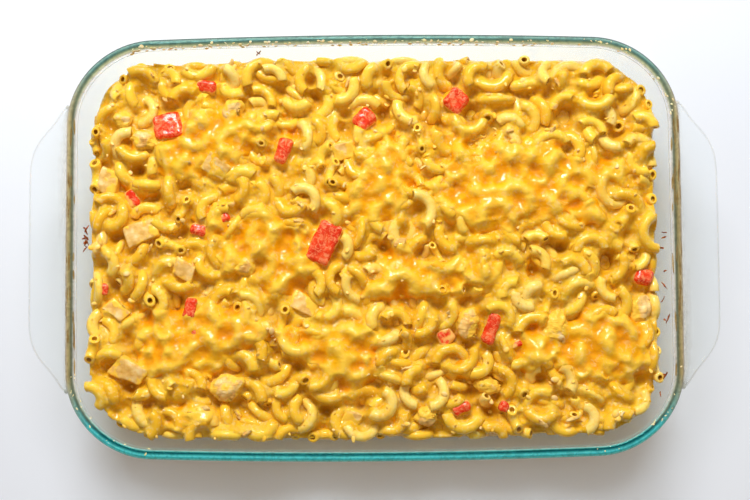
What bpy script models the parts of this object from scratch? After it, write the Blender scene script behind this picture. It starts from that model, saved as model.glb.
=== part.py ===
"""Chicken, macaroni and tomato casserole, baked under melted cheese in a clear glass oblong dish.

Metres, +Z up. The origin is under the middle of the dish, on the surface that it stands on. +X runs
along the dish. The dish is one glass moulding with a flat handle at each end. The macaroni, with its
sauce and cheese, is one crusty mass with the elbows that lie on top fused on. Each piece of tomato,
onion and chicken is a solid of its own, bedded in that mass.
"""

import math
import random

import bmesh
import bpy
from mathutils import Matrix, Vector, noise

# Glass dish, outside
RIM_LENGTH = 0.346
RIM_WIDTH = 0.240
DISH_HEIGHT = 0.052
RIM_CORNER = 0.048
LONG_SIDE_BOW = 0.004
SHORT_SIDE_BOW = 0.0005
WALL = 0.0046
WALL_LEAN = math.radians(12.5)
WALL_SET_BACK = 0.0012
RIM_BEAD = 0.0031
NECK_OUTSIDE = 0.0040
NECK_INSIDE = 0.0030
FLOOR = 0.0048
FOOT_RADIUS = 0.008
INNER_RADIUS = 0.012
ARC_STEPS = 4
CORNER_STEPS = 8
LONG_SIDE_STEPS = 6
SHORT_SIDE_STEPS = 4

# Flat glass handles, half of each one's outline as reach beyond the rim and distance from its middle
HANDLE_OUTLINE = (
    (0.0000, 0.0815),
    (0.0035, 0.0776),
    (0.0066, 0.0728),
    (0.0104, 0.0684),
    (0.0148, 0.0637),
    (0.0180, 0.0592),
    (0.0203, 0.0546),
    (0.0217, 0.0495),
    (0.0224, 0.0430),
    (0.0225, 0.0250),
)
HANDLE_REACH = HANDLE_OUTLINE[-1][0]
HANDLE_ROOT_DEPTH = 0.003
HANDLE_THICKNESS = 0.0048
HANDLE_BELOW_RIM = 0.0022
HANDLE_DROP = 0.0035
HANDLE_EDGE = 0.0014

# Baked macaroni: the sauce-bound core under the elbows that show
GAP = 0.0003
CORE_EDGE = 0.0350
EDGE_RISE = 0.0020
EDGE_ROLL = 0.012
CROWN = 0.0030
BUMP = 0.0024
BUMP_SIZE = 0.015
SWELL = 0.0012
SWELL_SIZE = 0.050
CHEESE_RISE = 0.0010
CORE_CELL = 0.0092
CORE_TOP_LIMIT = 0.0485
CORE_ARC_STEPS = 2

# Elbow macaroni, with its sweep and its tilt along and across in degrees
ELBOW_RADIUS = 0.0033
ELBOW_BORE = 0.0014
ELBOW_BORE_DEPTH = 0.0030
ELBOW_BEND = (0.0070, 0.0090)
ELBOW_SWEEP = (120, 205)
ELBOW_SIDES = 6
ELBOW_STEPS = 4
ELBOW_LIFT = 0.0010
ELBOW_TILT = (22, 16)
ELBOW_COLUMNS = 9
ELBOW_ROWS = 6
ELBOW_STRAY = 0.011
ELBOW_TRIES = 40
ELBOW_SEED = 11
HIGHEST_FOOD = 0.0468

# Toppings stand a little above the core, in pockets that clear them all round
DICE_STAND = 0.0032
CHUNK_STAND = 0.0046
POCKET_CLEARANCE = 0.0004
POCKET_GROWTH = 2.4 * POCKET_CLEARANCE

# How uneven the toppings are, as shares of their size
DICE_SPREAD = (-0.16, 0.06)
DICE_BLUNT = 0.2
ONION_SKEW = (-0.2, 0.2)
ONION_TAPER = (0.0, 0.25)
ONION_ARCH = 0.2
ONION_CUTS = 3
CHUNK_UNEVEN = 0.3
CHUNK_LUMPS = 2.6
CHUNK_GROWTH = 1.06

# Melted cheese, as ellipses: middle x and y, half length and half width, turn in degrees
# It ends at the first number times an ellipse's size, and thins out over the second
CHEESE_END = 1.25
CHEESE_FADE = 0.5
CHEESE_POOLS = (
    (-0.098, 0.058, 0.036, 0.020, 20),
    (-0.060, -0.003, 0.030, 0.022, -25),
    (-0.101, -0.049, 0.034, 0.020, 10),
    (0.002, 0.030, 0.026, 0.016, 35),
    (0.088, 0.036, 0.052, 0.030, -15),
    (0.034, -0.016, 0.040, 0.018, 5),
    (0.120, -0.056, 0.034, 0.018, -10),
    (-0.020, -0.058, 0.026, 0.016, 0),
)

# Diced tomato: x, y, length, width, thickness, turn and tilt in degrees
TOMATOES = (
    (-0.0960, 0.0930, 0.0115, 0.0078, 0.0070, -5, 8),
    (-0.1180, 0.0710, 0.0165, 0.0160, 0.0080, 12, -10),
    (-0.0515, 0.0560, 0.0155, 0.0085, 0.0080, 70, 14),
    (-0.0050, 0.0735, 0.0130, 0.0120, 0.0085, 42, -8),
    (0.0478, 0.0838, 0.0138, 0.0130, 0.0085, 52, 6),
    (-0.1390, 0.0290, 0.0120, 0.0085, 0.0075, -67, 12),
    (-0.0998, 0.0105, 0.0105, 0.0072, 0.0070, -15, -12),
    (-0.0282, 0.0025, 0.0250, 0.0150, 0.0085, 66, 6),
    (-0.1045, -0.0340, 0.0125, 0.0072, 0.0070, 80, -6),
    (-0.1022, -0.0462, 0.0085, 0.0052, 0.0065, -75, 8),
    (0.0405, -0.0512, 0.0110, 0.0095, 0.0075, 35, 10),
    (0.0662, -0.0465, 0.0190, 0.0080, 0.0075, 70, -8),
    (0.1545, -0.0180, 0.0105, 0.0095, 0.0080, -15, -10),
    (0.0490, -0.0918, 0.0115, 0.0062, 0.0070, 25, 16),
    (-0.0850, 0.0172, 0.0062, 0.0056, 0.0060, 30, -10),
    (-0.1535, -0.0230, 0.0064, 0.0045, 0.0060, 85, 10),
    (0.0802, -0.0560, 0.0080, 0.0048, 0.0060, 25, -10),
    (0.0730, -0.0910, 0.0064, 0.0054, 0.0060, 70, 12),
)

# Onion, in curved cuts of one layer: the same columns
ONIONS = (
    (-0.1322, 0.0092, 0.0190, 0.0125, 0.0050, 22, -8),
    (-0.1392, -0.0692, 0.0195, 0.0125, 0.0050, -25, 12),
    (-0.1525, 0.0390, 0.0145, 0.0125, 0.0050, 75, -8),
    (-0.0168, 0.0552, 0.0135, 0.0100, 0.0050, 15, 10),
    (-0.0128, -0.0970, 0.0105, 0.0095, 0.0050, -20, 14),
    (-0.0400, -0.0325, 0.0165, 0.0110, 0.0050, -30, -12),
    (-0.0895, 0.0465, 0.0150, 0.0120, 0.0050, -35, 10),
    (-0.1470, -0.0350, 0.0135, 0.0095, 0.0050, -38, -10),
    (-0.1078, -0.0120, 0.0125, 0.0100, 0.0050, -32, 8),
)

# Chicken, in torn chunks: the same columns
CHICKENS = (
    (0.1525, -0.0375, 0.0180, 0.0130, 0.0110, 80, 10),
    (0.1020, -0.0470, 0.0215, 0.0165, 0.0110, 75, -8),
    (0.0530, -0.0445, 0.0170, 0.0125, 0.0080, 80, 5),
    (-0.0840, -0.0790, 0.0215, 0.0140, 0.0100, 15, -8),
    (-0.0805, 0.0790, 0.0150, 0.0120, 0.0100, 65, 10),
    (0.0640, -0.0800, 0.0150, 0.0090, 0.0090, -10, 8),
    (0.0290, -0.0960, 0.0130, 0.0120, 0.0100, 30, -10),
    (-0.1440, 0.0745, 0.0115, 0.0095, 0.0090, 20, 6),
    (-0.1305, 0.0618, 0.0150, 0.0095, 0.0090, -20, -6),
    (-0.0735, -0.0105, 0.0145, 0.0115, 0.0090, 10, 8),
)


def clear_scene():
    """Start from an empty scene."""
    for item in list(bpy.data.objects):
        bpy.data.objects.remove(item, do_unlink=True)


def material(name, colour, roughness, transmission=0.0, ior=1.45):
    """A Principled finish of one colour."""
    finish = bpy.data.materials.new(name)
    finish.use_nodes = True
    shader = finish.node_tree.nodes["Principled BSDF"]
    shader.inputs["Base Color"].default_value = (*colour, 1.0)
    shader.inputs["Roughness"].default_value = roughness
    shader.inputs["Metallic"].default_value = 0.0
    shader.inputs["IOR"].default_value = ior
    shader.inputs["Transmission Weight"].default_value = transmission
    return finish


def new_object(name, bm, finish=None, collection=None):
    """Turn a bmesh into an object, with its faces turned outwards and shaded smooth."""
    bmesh.ops.recalc_face_normals(bm, faces=bm.faces)
    mesh = bpy.data.meshes.new(name)
    bm.to_mesh(mesh)
    bm.free()
    mesh.shade_smooth()
    mesh.set_sharp_from_angle(angle=math.radians(40))
    if finish:
        mesh.materials.append(finish)
    item = bpy.data.objects.new(name, mesh)
    (collection or bpy.context.scene.collection).objects.link(item)
    return item


def combine(item, operation, operand):
    """Cut, cross or join an object with another one, or with all those of a collection."""
    step = item.modifiers.new(operation.title(), "BOOLEAN")
    step.operation = operation
    if isinstance(operand, bpy.types.Collection):
        step.operand_type = "COLLECTION"
        step.collection = operand
        used = list(operand.objects)
    else:
        step.object = operand
        used = [operand]
    evaluated = item.evaluated_get(bpy.context.evaluated_depsgraph_get())
    result = bpy.data.meshes.new_from_object(evaluated)
    item.modifiers.clear()
    item.data = result
    for tool in used:
        bpy.data.objects.remove(tool, do_unlink=True)
    if isinstance(operand, bpy.types.Collection):
        bpy.data.collections.remove(operand)


def tool_collection(name):
    """A collection for pieces that are about to be joined to, or cut from, another."""
    holder = bpy.data.collections.new(name)
    bpy.context.scene.collection.children.link(holder)
    return holder


def keep_largest_shell(item):
    """Drop loose scraps, and the inner skin of any hollow that fusing has sealed."""
    bm = bmesh.new()
    bm.from_mesh(item.data)
    left = set(bm.verts)
    shells = []
    while left:
        shell = {left.pop()}
        edge = list(shell)
        while edge:
            for link in edge.pop().link_edges:
                for vert in link.verts:
                    if vert not in shell:
                        shell.add(vert)
                        edge.append(vert)
        left -= shell
        shells.append(shell)
    shells.sort(key=len)
    scraps = [vert for shell in shells[:-1] for vert in shell]
    bmesh.ops.delete(bm, geom=scraps, context="VERTS")
    bm.to_mesh(item.data)
    bm.free()


def outline(inset):
    """Plan of the dish at a distance inside its rim: round corners, and sides that bow outwards."""
    half_x = RIM_LENGTH / 2 - inset
    half_y = RIM_WIDTH / 2 - inset
    corner = RIM_CORNER - inset
    points = []
    for quarter in range(4):
        turn = math.radians(90 * quarter)
        middle_x = (half_x - corner) * (1 if quarter in (0, 3) else -1)
        middle_y = (half_y - corner) * (1 if quarter in (0, 1) else -1)
        for step in range(CORNER_STEPS + 1):
            angle = turn + math.radians(90) * step / CORNER_STEPS
            x = middle_x + corner * math.cos(angle)
            y = middle_y + corner * math.sin(angle)
            points.append((x, y))
        along = 2 * (half_x - corner) if quarter in (0, 2) else 2 * (half_y - corner)
        steps = LONG_SIDE_STEPS if quarter in (0, 2) else SHORT_SIDE_STEPS
        heading = turn + math.radians(180)
        start_x, start_y = points[-1]
        for step in range(1, steps):
            reach = along * step / steps
            points.append((start_x + reach * math.cos(heading), start_y + reach * math.sin(heading)))
    return [bowed(x, y, half_x, half_y) for x, y in points]


def bowed(x, y, half_x, half_y):
    """Draw a point in towards the dish's middle line, less so at the middle of its side."""
    across = 1 - LONG_SIDE_BOW / half_y * (x / half_x) ** 2
    along = 1 - SHORT_SIDE_BOW / half_x * (y / half_y) ** 2
    return x * along, y * across


def inset_at(x, y):
    """How far inside the rim's outline a point lies."""
    half_x = RIM_LENGTH / 2
    half_y = RIM_WIDTH / 2
    x = abs(x) / (1 - SHORT_SIDE_BOW / half_x * (y / half_y) ** 2)
    y = abs(y) / (1 - LONG_SIDE_BOW / half_y * (x / half_x) ** 2)
    over_x = x - (half_x - RIM_CORNER)
    over_y = y - (half_y - RIM_CORNER)
    outside = math.hypot(max(over_x, 0.0), max(over_y, 0.0))
    return RIM_CORNER - outside - min(max(over_x, over_y), 0.0)


def outer_wall(z):
    """Inset of the wall's outer face at a height."""
    return WALL_SET_BACK + (DISH_HEIGHT - z) * math.tan(WALL_LEAN)


def inner_wall(z):
    """Inset of the wall's inner face at a height."""
    return outer_wall(z) + WALL / math.cos(WALL_LEAN)


def round_to_wall(wall, floor, radius, shrink, steps):
    """Arc between a level bottom and a leaning wall, from the bottom up, as insets and heights.

    The arc is drawn about one centre for a given wall and radius. Shrink moves it in parallel.
    """
    centre_z = floor + radius
    centre = wall(centre_z) + radius / math.cos(WALL_LEAN)
    arc = []
    for step in range(steps + 1):
        angle = math.radians(90) + (WALL_LEAN - math.radians(90)) * step / steps
        reach = radius - shrink
        arc.append((centre - reach * math.cos(angle), centre_z - reach * math.sin(angle)))
    return arc


def loft(rings):
    """Closed bmesh through rings of points, one after the other, with both ends filled."""
    bm = bmesh.new()
    made = [[bm.verts.new(point) for point in ring] for ring in rings]
    count = len(made[0])
    for low, high in zip(made, made[1:]):
        for i in range(count):
            j = (i + 1) % count
            bm.faces.new((low[i], low[j], high[j], high[i]))
    bm.faces.new(list(reversed(made[0])))
    bm.faces.new(made[-1])
    return bm


def stacked(profile):
    """Rings of the dish's plan at each inset and height of a profile."""
    return [[(x, y, z) for x, y in outline(inset)] for inset, z in profile]


def dish_profile():
    """Half section of the dish: foot, outer wall, rim bead, inner wall and floor."""
    profile = round_to_wall(outer_wall, 0.0, FOOT_RADIUS, 0.0, ARC_STEPS)
    bead_z = DISH_HEIGHT - RIM_BEAD
    profile.append((outer_wall(bead_z - NECK_OUTSIDE), bead_z - NECK_OUTSIDE))
    for degrees in range(-45, 181, 45):
        angle = math.radians(degrees)
        profile.append((RIM_BEAD - RIM_BEAD * math.cos(angle), bead_z + RIM_BEAD * math.sin(angle)))
    profile.append((inner_wall(bead_z - NECK_INSIDE), bead_z - NECK_INSIDE))
    profile += reversed(round_to_wall(inner_wall, FLOOR, INNER_RADIUS, 0.0, ARC_STEPS))
    return profile


def handle(side):
    """Flat glass handle as a loft of plan outlines, thin at its edge and drooping outwards."""
    root = RIM_LENGTH / 2 - HANDLE_ROOT_DEPTH
    bottom = DISH_HEIGHT - HANDLE_BELOW_RIM - HANDLE_THICKNESS
    levels = (
        (HANDLE_EDGE, 0.0),
        (0.0, HANDLE_EDGE),
        (0.0, HANDLE_THICKNESS - HANDLE_EDGE),
        (HANDLE_EDGE, HANDLE_THICKNESS),
    )
    rings = []
    for trim, rise in levels:
        half = [(max(reach - trim, 0.0), away - trim) for reach, away in HANDLE_OUTLINE]
        whole = [(reach, -away) for reach, away in half] + list(reversed(half))
        ring = []
        for reach, y in whole:
            droop = HANDLE_DROP * reach / HANDLE_REACH
            ring.append((side * (RIM_LENGTH / 2 + reach), y, bottom + rise - droop))
        for y in (half[0][1], -half[0][1]):
            ring.append((side * root, y, bottom + rise))
        rings.append(ring)
    return new_object("handle", loft(rings))


def make_dish(finish):
    """The glass dish with its two handles."""
    dish = new_object("glass_dish", loft(stacked(dish_profile())), finish)
    for side in (-1, 1):
        combine(dish, "UNION", handle(side))
    dish.data.materials.clear()
    dish.data.materials.append(finish)
    return dish


def smooth_step(value):
    """Ease from 0 to 1."""
    value = min(max(value, 0.0), 1.0)
    return value * value * (3 - 2 * value)


def cheese_cover(x, y):
    """How fully melted cheese covers a place, from 0 to 1."""
    cover = 0.0
    for middle_x, middle_y, half_x, half_y, turn in CHEESE_POOLS:
        angle = math.radians(turn)
        along = (x - middle_x) * math.cos(angle) + (y - middle_y) * math.sin(angle)
        across = (y - middle_y) * math.cos(angle) - (x - middle_x) * math.sin(angle)
        far = math.hypot(along / half_x, across / half_y)
        cover = max(cover, smooth_step((CHEESE_END - far) / CHEESE_FADE))
    return cover


def core_height(x, y):
    """Top of the sauce-bound core: crowned, lower along the glass, bumpy except under cheese."""
    from_wall = inset_at(x, y) - inner_wall(CORE_EDGE)
    dome = (1 - (2 * x / RIM_LENGTH) ** 2) * (1 - (2 * y / RIM_WIDTH) ** 2)
    cheese = cheese_cover(x, y)
    bump = noise.noise(Vector((x / BUMP_SIZE, y / BUMP_SIZE, 2.3)))
    swell = noise.noise(Vector((x / SWELL_SIZE, y / SWELL_SIZE, 7.1)))
    height = CORE_EDGE + EDGE_RISE * smooth_step(from_wall / EDGE_ROLL) + CROWN * dome
    return height + BUMP * 2 * bump * (1 - 0.5 * cheese) + SWELL * 2 * swell + CHEESE_RISE * cheese


def food_profile(top):
    """Half section of the space inside the dish, kept clear of the glass by the gap."""
    profile = round_to_wall(inner_wall, FLOOR, INNER_RADIUS, GAP, CORE_ARC_STEPS)
    profile.append((inner_wall(top) + GAP / math.cos(WALL_LEAN), top))
    return profile


def make_core(finish):
    """The core: a block with the crusty top, crossed with the space inside the dish."""
    half_x = RIM_LENGTH / 2
    half_y = RIM_WIDTH / 2
    columns = round(2 * half_x / CORE_CELL)
    rows = round(2 * half_y / CORE_CELL)
    bm = bmesh.new()
    bmesh.ops.create_grid(bm, x_segments=columns, y_segments=rows, size=1.0)
    for vert in bm.verts:
        x = vert.co.x * half_x
        y = vert.co.y * half_y
        vert.co = (x, y, core_height(x, y))
    rim = [edge for edge in bm.edges if edge.is_boundary]
    skirt = bmesh.ops.extrude_edge_only(bm, edges=rim)["geom"]
    for item in skirt:
        if isinstance(item, bmesh.types.BMVert):
            item.co.z = 0.0
    bmesh.ops.holes_fill(bm, edges=[edge for edge in bm.edges if edge.is_boundary], sides=0)
    core = new_object("macaroni_bake", bm, finish)
    combine(core, "INTERSECT", new_object("space", loft(stacked(food_profile(CORE_TOP_LIMIT)))))
    return core


def elbow_line(bend, sweep, steps):
    """Centre line of an elbow about its own middle: points, and the direction out from the bend."""
    line = []
    for step in range(steps + 1):
        angle = math.radians(sweep) * (step / steps - 0.5)
        line.append((Vector((bend * math.cos(angle), bend * math.sin(angle), 0.0)), angle))
    middle = sum((point for point, _ in line), Vector()) / len(line)
    return [(point - middle, angle) for point, angle in line]


def elbow_ring(point, angle, radius):
    """Ring of an elbow's tube round one point of its centre line."""
    outward = Vector((math.cos(angle), math.sin(angle), 0.0))
    ring = []
    for side in range(ELBOW_SIDES):
        turn = 2 * math.pi * side / ELBOW_SIDES
        ring.append(point + radius * (math.cos(turn) * outward + math.sin(turn) * Vector((0, 0, 1))))
    return ring


def make_elbow(line, place, collection):
    """One elbow: a bent tube of few sides, with a tapered bore sunk into each end."""
    rings = [elbow_ring(line[0][0], line[0][1], ELBOW_BORE)]
    rings += [elbow_ring(point, angle, ELBOW_RADIUS) for point, angle in line]
    rings.append(elbow_ring(line[-1][0], line[-1][1], ELBOW_BORE))
    bm = loft(rings)
    bm.faces.ensure_lookup_table()
    for cap, (point, angle), inwards in ((bm.faces[-2], line[0], 1), (bm.faces[-1], line[-1], -1)):
        along = Vector((-math.sin(angle), math.cos(angle), 0.0))
        bottom = bmesh.ops.poke(bm, faces=[cap])["verts"][0]
        bottom.co = point + along * inwards * ELBOW_BORE_DEPTH
    item = new_object("elbow", bm, None, collection)
    item.matrix_world = place


def elbow_fits(points, toppings):
    """Whether an elbow's centre points clear the glass, the toppings and the highest food."""
    for point in points:
        reach = ELBOW_RADIUS / math.cos(WALL_LEAN) + GAP
        if inset_at(point.x, point.y) < inner_wall(point.z) + reach:
            return False
        if point.z + ELBOW_RADIUS > HIGHEST_FOOD:
            return False
        for x, y, half in toppings:
            if math.hypot(point.x - x, point.y - y) < half + ELBOW_RADIUS + POCKET_CLEARANCE:
                return False
    return True


def lay_elbow(rng, x, y):
    """Centre line and place of an elbow that lies at random on the core near a point."""
    line = elbow_line(rng.uniform(*ELBOW_BEND), rng.uniform(*ELBOW_SWEEP), ELBOW_STEPS)
    turned = Matrix.Rotation(rng.uniform(0, 2 * math.pi), 4, "Z")
    turned @= Matrix.Rotation(math.radians(rng.gauss(0, ELBOW_TILT[0])), 4, "X")
    turned @= Matrix.Rotation(math.radians(rng.gauss(0, ELBOW_TILT[1])), 4, "Y")
    spots = [turned @ point for point, _ in line]
    ground = sum(core_height(x + spot.x, y + spot.y) - spot.z for spot in spots) / len(spots)
    place = Matrix.Translation((x, y, ground + ELBOW_LIFT)) @ turned
    return line, place


def scatter_elbows(collection, toppings):
    """Spread elbows evenly over the core, one near the middle of each cell that has room."""
    rng = random.Random(ELBOW_SEED)
    length = RIM_LENGTH - 2 * inner_wall(CORE_EDGE)
    width = RIM_WIDTH - 2 * inner_wall(CORE_EDGE)
    for row in range(ELBOW_ROWS):
        for column in range(ELBOW_COLUMNS):
            middle_x = ((column + 0.5) / ELBOW_COLUMNS - 0.5) * length
            middle_y = ((row + 0.5) / ELBOW_ROWS - 0.5) * width
            for _ in range(ELBOW_TRIES):
                x = middle_x + rng.uniform(-ELBOW_STRAY, ELBOW_STRAY)
                y = middle_y + rng.uniform(-ELBOW_STRAY, ELBOW_STRAY)
                line, place = lay_elbow(rng, x, y)
                if elbow_fits([place @ point for point, _ in line], toppings):
                    make_elbow(line, place, collection)
                    break


def dice(size, rng, grow):
    """Diced piece: a box with uneven corners and blunt edges, which its grown pocket does without."""
    bm = bmesh.new()
    bmesh.ops.create_cube(bm, size=1.0)
    for vert in bm.verts:
        for axis in range(3):
            vert.co[axis] *= size[axis] * (1 + rng.uniform(*DICE_SPREAD)) + grow
    if not grow:
        bmesh.ops.bevel(bm, geom=bm.edges, offset=DICE_BLUNT * min(size), segments=1, affect="EDGES")
    return bm


def curved_cut(size, rng, grow):
    """Cut of one onion layer: a slab with uneven corners that arches along its length."""
    bm = bmesh.new()
    bmesh.ops.create_cube(bm, size=1.0)
    long_edges = [edge for edge in bm.edges if abs((edge.verts[0].co - edge.verts[1].co).x) > 0.5]
    bmesh.ops.subdivide_edges(bm, edges=long_edges, cuts=ONION_CUTS, use_grid_fill=True)
    skew = rng.uniform(*ONION_SKEW)
    taper = rng.uniform(*ONION_TAPER)
    for vert in bm.verts:
        x, y, z = vert.co
        y *= 1 - taper * (x + 0.5)
        vert.co = (
            x * (size[0] + grow) + skew * y * size[0],
            y * (size[1] + grow),
            z * (size[2] + grow) - ONION_ARCH * size[0] * x * x,
        )
    return bm


def chunk(size, rng, grow):
    """Torn chunk: a lump with a fibrous, uneven surface."""
    bm = bmesh.new()
    bmesh.ops.create_icosphere(bm, subdivisions=2, radius=0.5)
    seed = rng.uniform(0, 50)
    for vert in bm.verts:
        uneven = 1 + CHUNK_UNEVEN * noise.noise(vert.co * CHUNK_LUMPS + Vector((seed, 0, 0)))
        for axis in range(3):
            vert.co[axis] *= (size[axis] * CHUNK_GROWTH + grow) * uneven
    return bm


def topping_place(row, stand):
    """Where a topping lies: bedded in the core, with its top standing a little above it."""
    x, y, _, _, thickness, turn, tilt = row
    z = core_height(x, y) + stand - thickness / 2
    place = Matrix.Translation((x, y, z)) @ Matrix.Rotation(math.radians(turn), 4, "Z")
    return place @ Matrix.Rotation(math.radians(tilt), 4, "X")


def make_toppings(kind, rows, shape, stand, finish, pockets):
    """One object for each row of a topping's list, and a pocket a little larger round it."""
    for number, row in enumerate(rows, 1):
        name = f"{kind}_{number:02d}"
        for label, grow, owner in ((name, 0.0, None), ("pocket", POCKET_GROWTH, pockets)):
            item = new_object(label, shape(row[2:5], random.Random(name), grow), finish, owner)
            item.matrix_world = topping_place(row, stand)


def make_bake(finish, pockets):
    """The macaroni with its sauce and cheese: core, fused elbows, and a pocket for each topping."""
    rows = TOMATOES + ONIONS + CHICKENS
    toppings = [(row[0], row[1], 0.5 * math.hypot(row[2], row[3])) for row in rows]
    bake = make_core(finish)
    elbows = tool_collection("elbows")
    scatter_elbows(elbows, toppings)
    combine(bake, "UNION", elbows)
    combine(bake, "DIFFERENCE", pockets)
    keep_largest_shell(bake)
    bake.data.materials.clear()
    bake.data.materials.append(finish)
    return bake


def main():
    clear_scene()
    glass = material("borosilicate glass", (0.86, 0.95, 0.93), 0.02, transmission=1.0, ior=1.47)
    pasta = material("baked macaroni and cheese", (0.84, 0.50, 0.09), 0.35)
    tomato = material("baked tomato", (0.72, 0.09, 0.04), 0.25)
    onion = material("soft onion", (0.80, 0.62, 0.30), 0.30)
    chicken = material("cooked chicken", (0.72, 0.47, 0.22), 0.50)
    make_dish(glass)
    pockets = tool_collection("pockets")
    make_toppings("tomato", TOMATOES, dice, DICE_STAND, tomato, pockets)
    make_toppings("onion", ONIONS, curved_cut, DICE_STAND, onion, pockets)
    make_toppings("chicken", CHICKENS, chunk, CHUNK_STAND, chicken, pockets)
    make_bake(pasta, pockets)


main()
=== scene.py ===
"""Chicken macaroni casserole in a clear glass dish: its looks, built over the packed model.

Laid out as an add-on: settings, one operator for each piece or group of like pieces, and a panel.
Lengths are in metres, in the packed model's frame: +X along the dish, +Z up.
"""

import functools
import math

import bmesh
import bpy
import numpy as np
from mathutils import Euler, Matrix, Vector
from mathutils import noise as field
from mathutils.bvhtree import BVHTree


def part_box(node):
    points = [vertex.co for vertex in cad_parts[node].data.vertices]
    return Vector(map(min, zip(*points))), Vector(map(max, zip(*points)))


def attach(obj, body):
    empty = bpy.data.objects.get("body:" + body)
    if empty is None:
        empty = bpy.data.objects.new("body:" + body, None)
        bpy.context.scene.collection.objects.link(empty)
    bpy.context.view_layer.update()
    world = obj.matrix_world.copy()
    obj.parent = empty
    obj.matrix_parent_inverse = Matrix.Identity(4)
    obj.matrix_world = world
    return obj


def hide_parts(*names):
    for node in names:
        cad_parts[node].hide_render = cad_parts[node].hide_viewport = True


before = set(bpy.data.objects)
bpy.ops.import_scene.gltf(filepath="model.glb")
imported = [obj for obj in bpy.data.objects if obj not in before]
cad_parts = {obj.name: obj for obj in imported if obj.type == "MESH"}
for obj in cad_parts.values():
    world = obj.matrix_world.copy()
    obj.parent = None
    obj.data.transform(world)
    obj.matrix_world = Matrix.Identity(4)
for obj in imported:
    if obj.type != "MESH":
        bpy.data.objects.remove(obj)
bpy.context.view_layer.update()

bl_info = {
    "name": "Macaroni Casserole",
    "version": (1, 0, 0),
    "blender": (4, 5, 0),
    "location": "View3D > Sidebar > Casserole",
    "description": "Makes a baked macaroni and chicken casserole in its glass dish",
    "category": "Object",
}

MM = 0.001

# Glass dish, as the packed model has it
_, DISH_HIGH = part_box("glass_dish")
# Half of a handle's outline: reach beyond the rim and distance from its middle, in mm
HANDLE_OUTLINE = (
    (0.0, 81.5), (3.5, 77.6), (6.6, 72.8), (10.4, 68.4), (14.8, 63.7),
    (18.0, 59.2), (20.3, 54.6), (21.7, 49.5), (22.4, 43.0), (22.5, 25.0),
)
HANDLE_REACH = HANDLE_OUTLINE[-1][0] * MM
HANDLE_HALF_ROOT = HANDLE_OUTLINE[0][1] * MM
HALF_LENGTH = DISH_HIGH.x - HANDLE_REACH
HALF_WIDTH = DISH_HIGH.y
DISH_HEIGHT = DISH_HIGH.z
RIM_CORNER = 48 * MM
LONG_SIDE_BOW = 4 * MM
SHORT_SIDE_BOW = 0.5 * MM
WALL = 4.6 * MM
WALL_LEAN = math.radians(12.5)
WALL_SET_BACK = 1.2 * MM
RIM_BEAD = 3.1 * MM
FLOOR = 4.8 * MM
FOOT_RADIUS = 8 * MM
INNER_RADIUS = 12 * MM
HANDLE_ROOT_DEPTH = 3 * MM
HANDLE_THICKNESS = 4.8 * MM
HANDLE_DROP = 3.5 * MM
HANDLE_TOP = DISH_HEIGHT - 2.2 * MM

# Columns of a list of specks or elbows. A speck's sizes or an elbow's bend, sweep and girth follow
PLACE, TURN = slice(0, 3), slice(3, 6)
# Steps round each corner and along each side of a ring of points on the glass
RING_STEPS = (24, 40)
FLOOR_REACH = 3.0
# Height of the food's edge
FOOD_EDGE = 36 * MM
# How far the sauce reaches into the glass that holds it
INTO_GLASS = 0.12 * MM
# How fine the lumps on specks and elbows are, for each metre
SPECK_LUMP_SCALE = 900.0
ELBOW_LUMP_SCALE = 190.0

# Map of heights over the food, and how deep the heap of elbows is
CELL = 0.88 * MM
COLUMNS = int(round(2 * HALF_LENGTH / CELL))
ROWS = int(round(2 * HALF_WIDTH / CELL))
HEAP_DEPTH = 13.5 * MM
MOST_ELBOWS = 1400

# Melted cheese, as ellipses: middle x and y, half length and half width in mm, turn in degrees
CHEESE_POOLS = (
    (-98, 58, 36, 20, 20),
    (-60, -3, 30, 22, -25),
    (-101, -49, 34, 20, 10),
    (2, 30, 26, 16, 35),
    (88, 36, 52, 30, -15),
    (34, -16, 40, 18, 5),
    (120, -56, 34, 18, -10),
    (-20, -58, 26, 16, 0),
)


def numbered(kind):
    """Names of the packed model's nodes of one kind, in order."""
    return sorted(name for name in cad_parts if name.startswith(kind + "_"))


TOMATOES = numbered("tomato")
ONIONS = numbered("onion")
CHICKENS = numbered("chicken")
TOPPINGS = TOMATOES + ONIONS + CHICKENS


# Settings

class DishSettings(bpy.types.PropertyGroup):
    """Glass dish"""
    corner_steps: bpy.props.IntProperty(
        name="Corner steps", description="Faces round each corner of the dish", default=22, min=6)
    side_steps: bpy.props.IntProperty(
        name="Side steps", description="Faces along each side of the dish", default=14, min=4)
    tint: bpy.props.FloatVectorProperty(
        name="Tint", description="Colour that a thick stretch of the glass passes",
        default=(0.02, 0.58, 0.54), subtype="COLOR", min=0, max=1)
    tint_density: bpy.props.FloatProperty(
        name="Tint density", description="How fast the glass takes its tint, for each metre", default=7.0)


class MacaroniSettings(bpy.types.PropertyGroup):
    """Elbow macaroni"""
    radius: bpy.props.FloatProperty(
        name="Tube radius", description="Outer radius of a cooked elbow",
        default=3.35 * MM, subtype="DISTANCE", unit="LENGTH", precision=5)
    bore: bpy.props.FloatProperty(
        name="Bore radius", description="Radius of the hole through an elbow",
        default=1.5 * MM, subtype="DISTANCE", unit="LENGTH", precision=5)
    sides: bpy.props.IntProperty(
        name="Sides", description="Faces round an elbow's tube", default=10, min=6)
    seed: bpy.props.IntProperty(name="Seed", description="Seed of the scatter", default=5)
    sink: bpy.props.FloatProperty(
        name="Sink", description="How far soft elbows press into what they lie on",
        default=2.2 * MM, subtype="DISTANCE", unit="LENGTH", precision=5)


class CheeseSettings(bpy.types.PropertyGroup):
    """Melted cheese"""
    film: bpy.props.FloatProperty(
        name="Film", description="Thickness of cheese over the elbows under it",
        default=0.5 * MM, subtype="DISTANCE", unit="LENGTH", precision=5)


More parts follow.
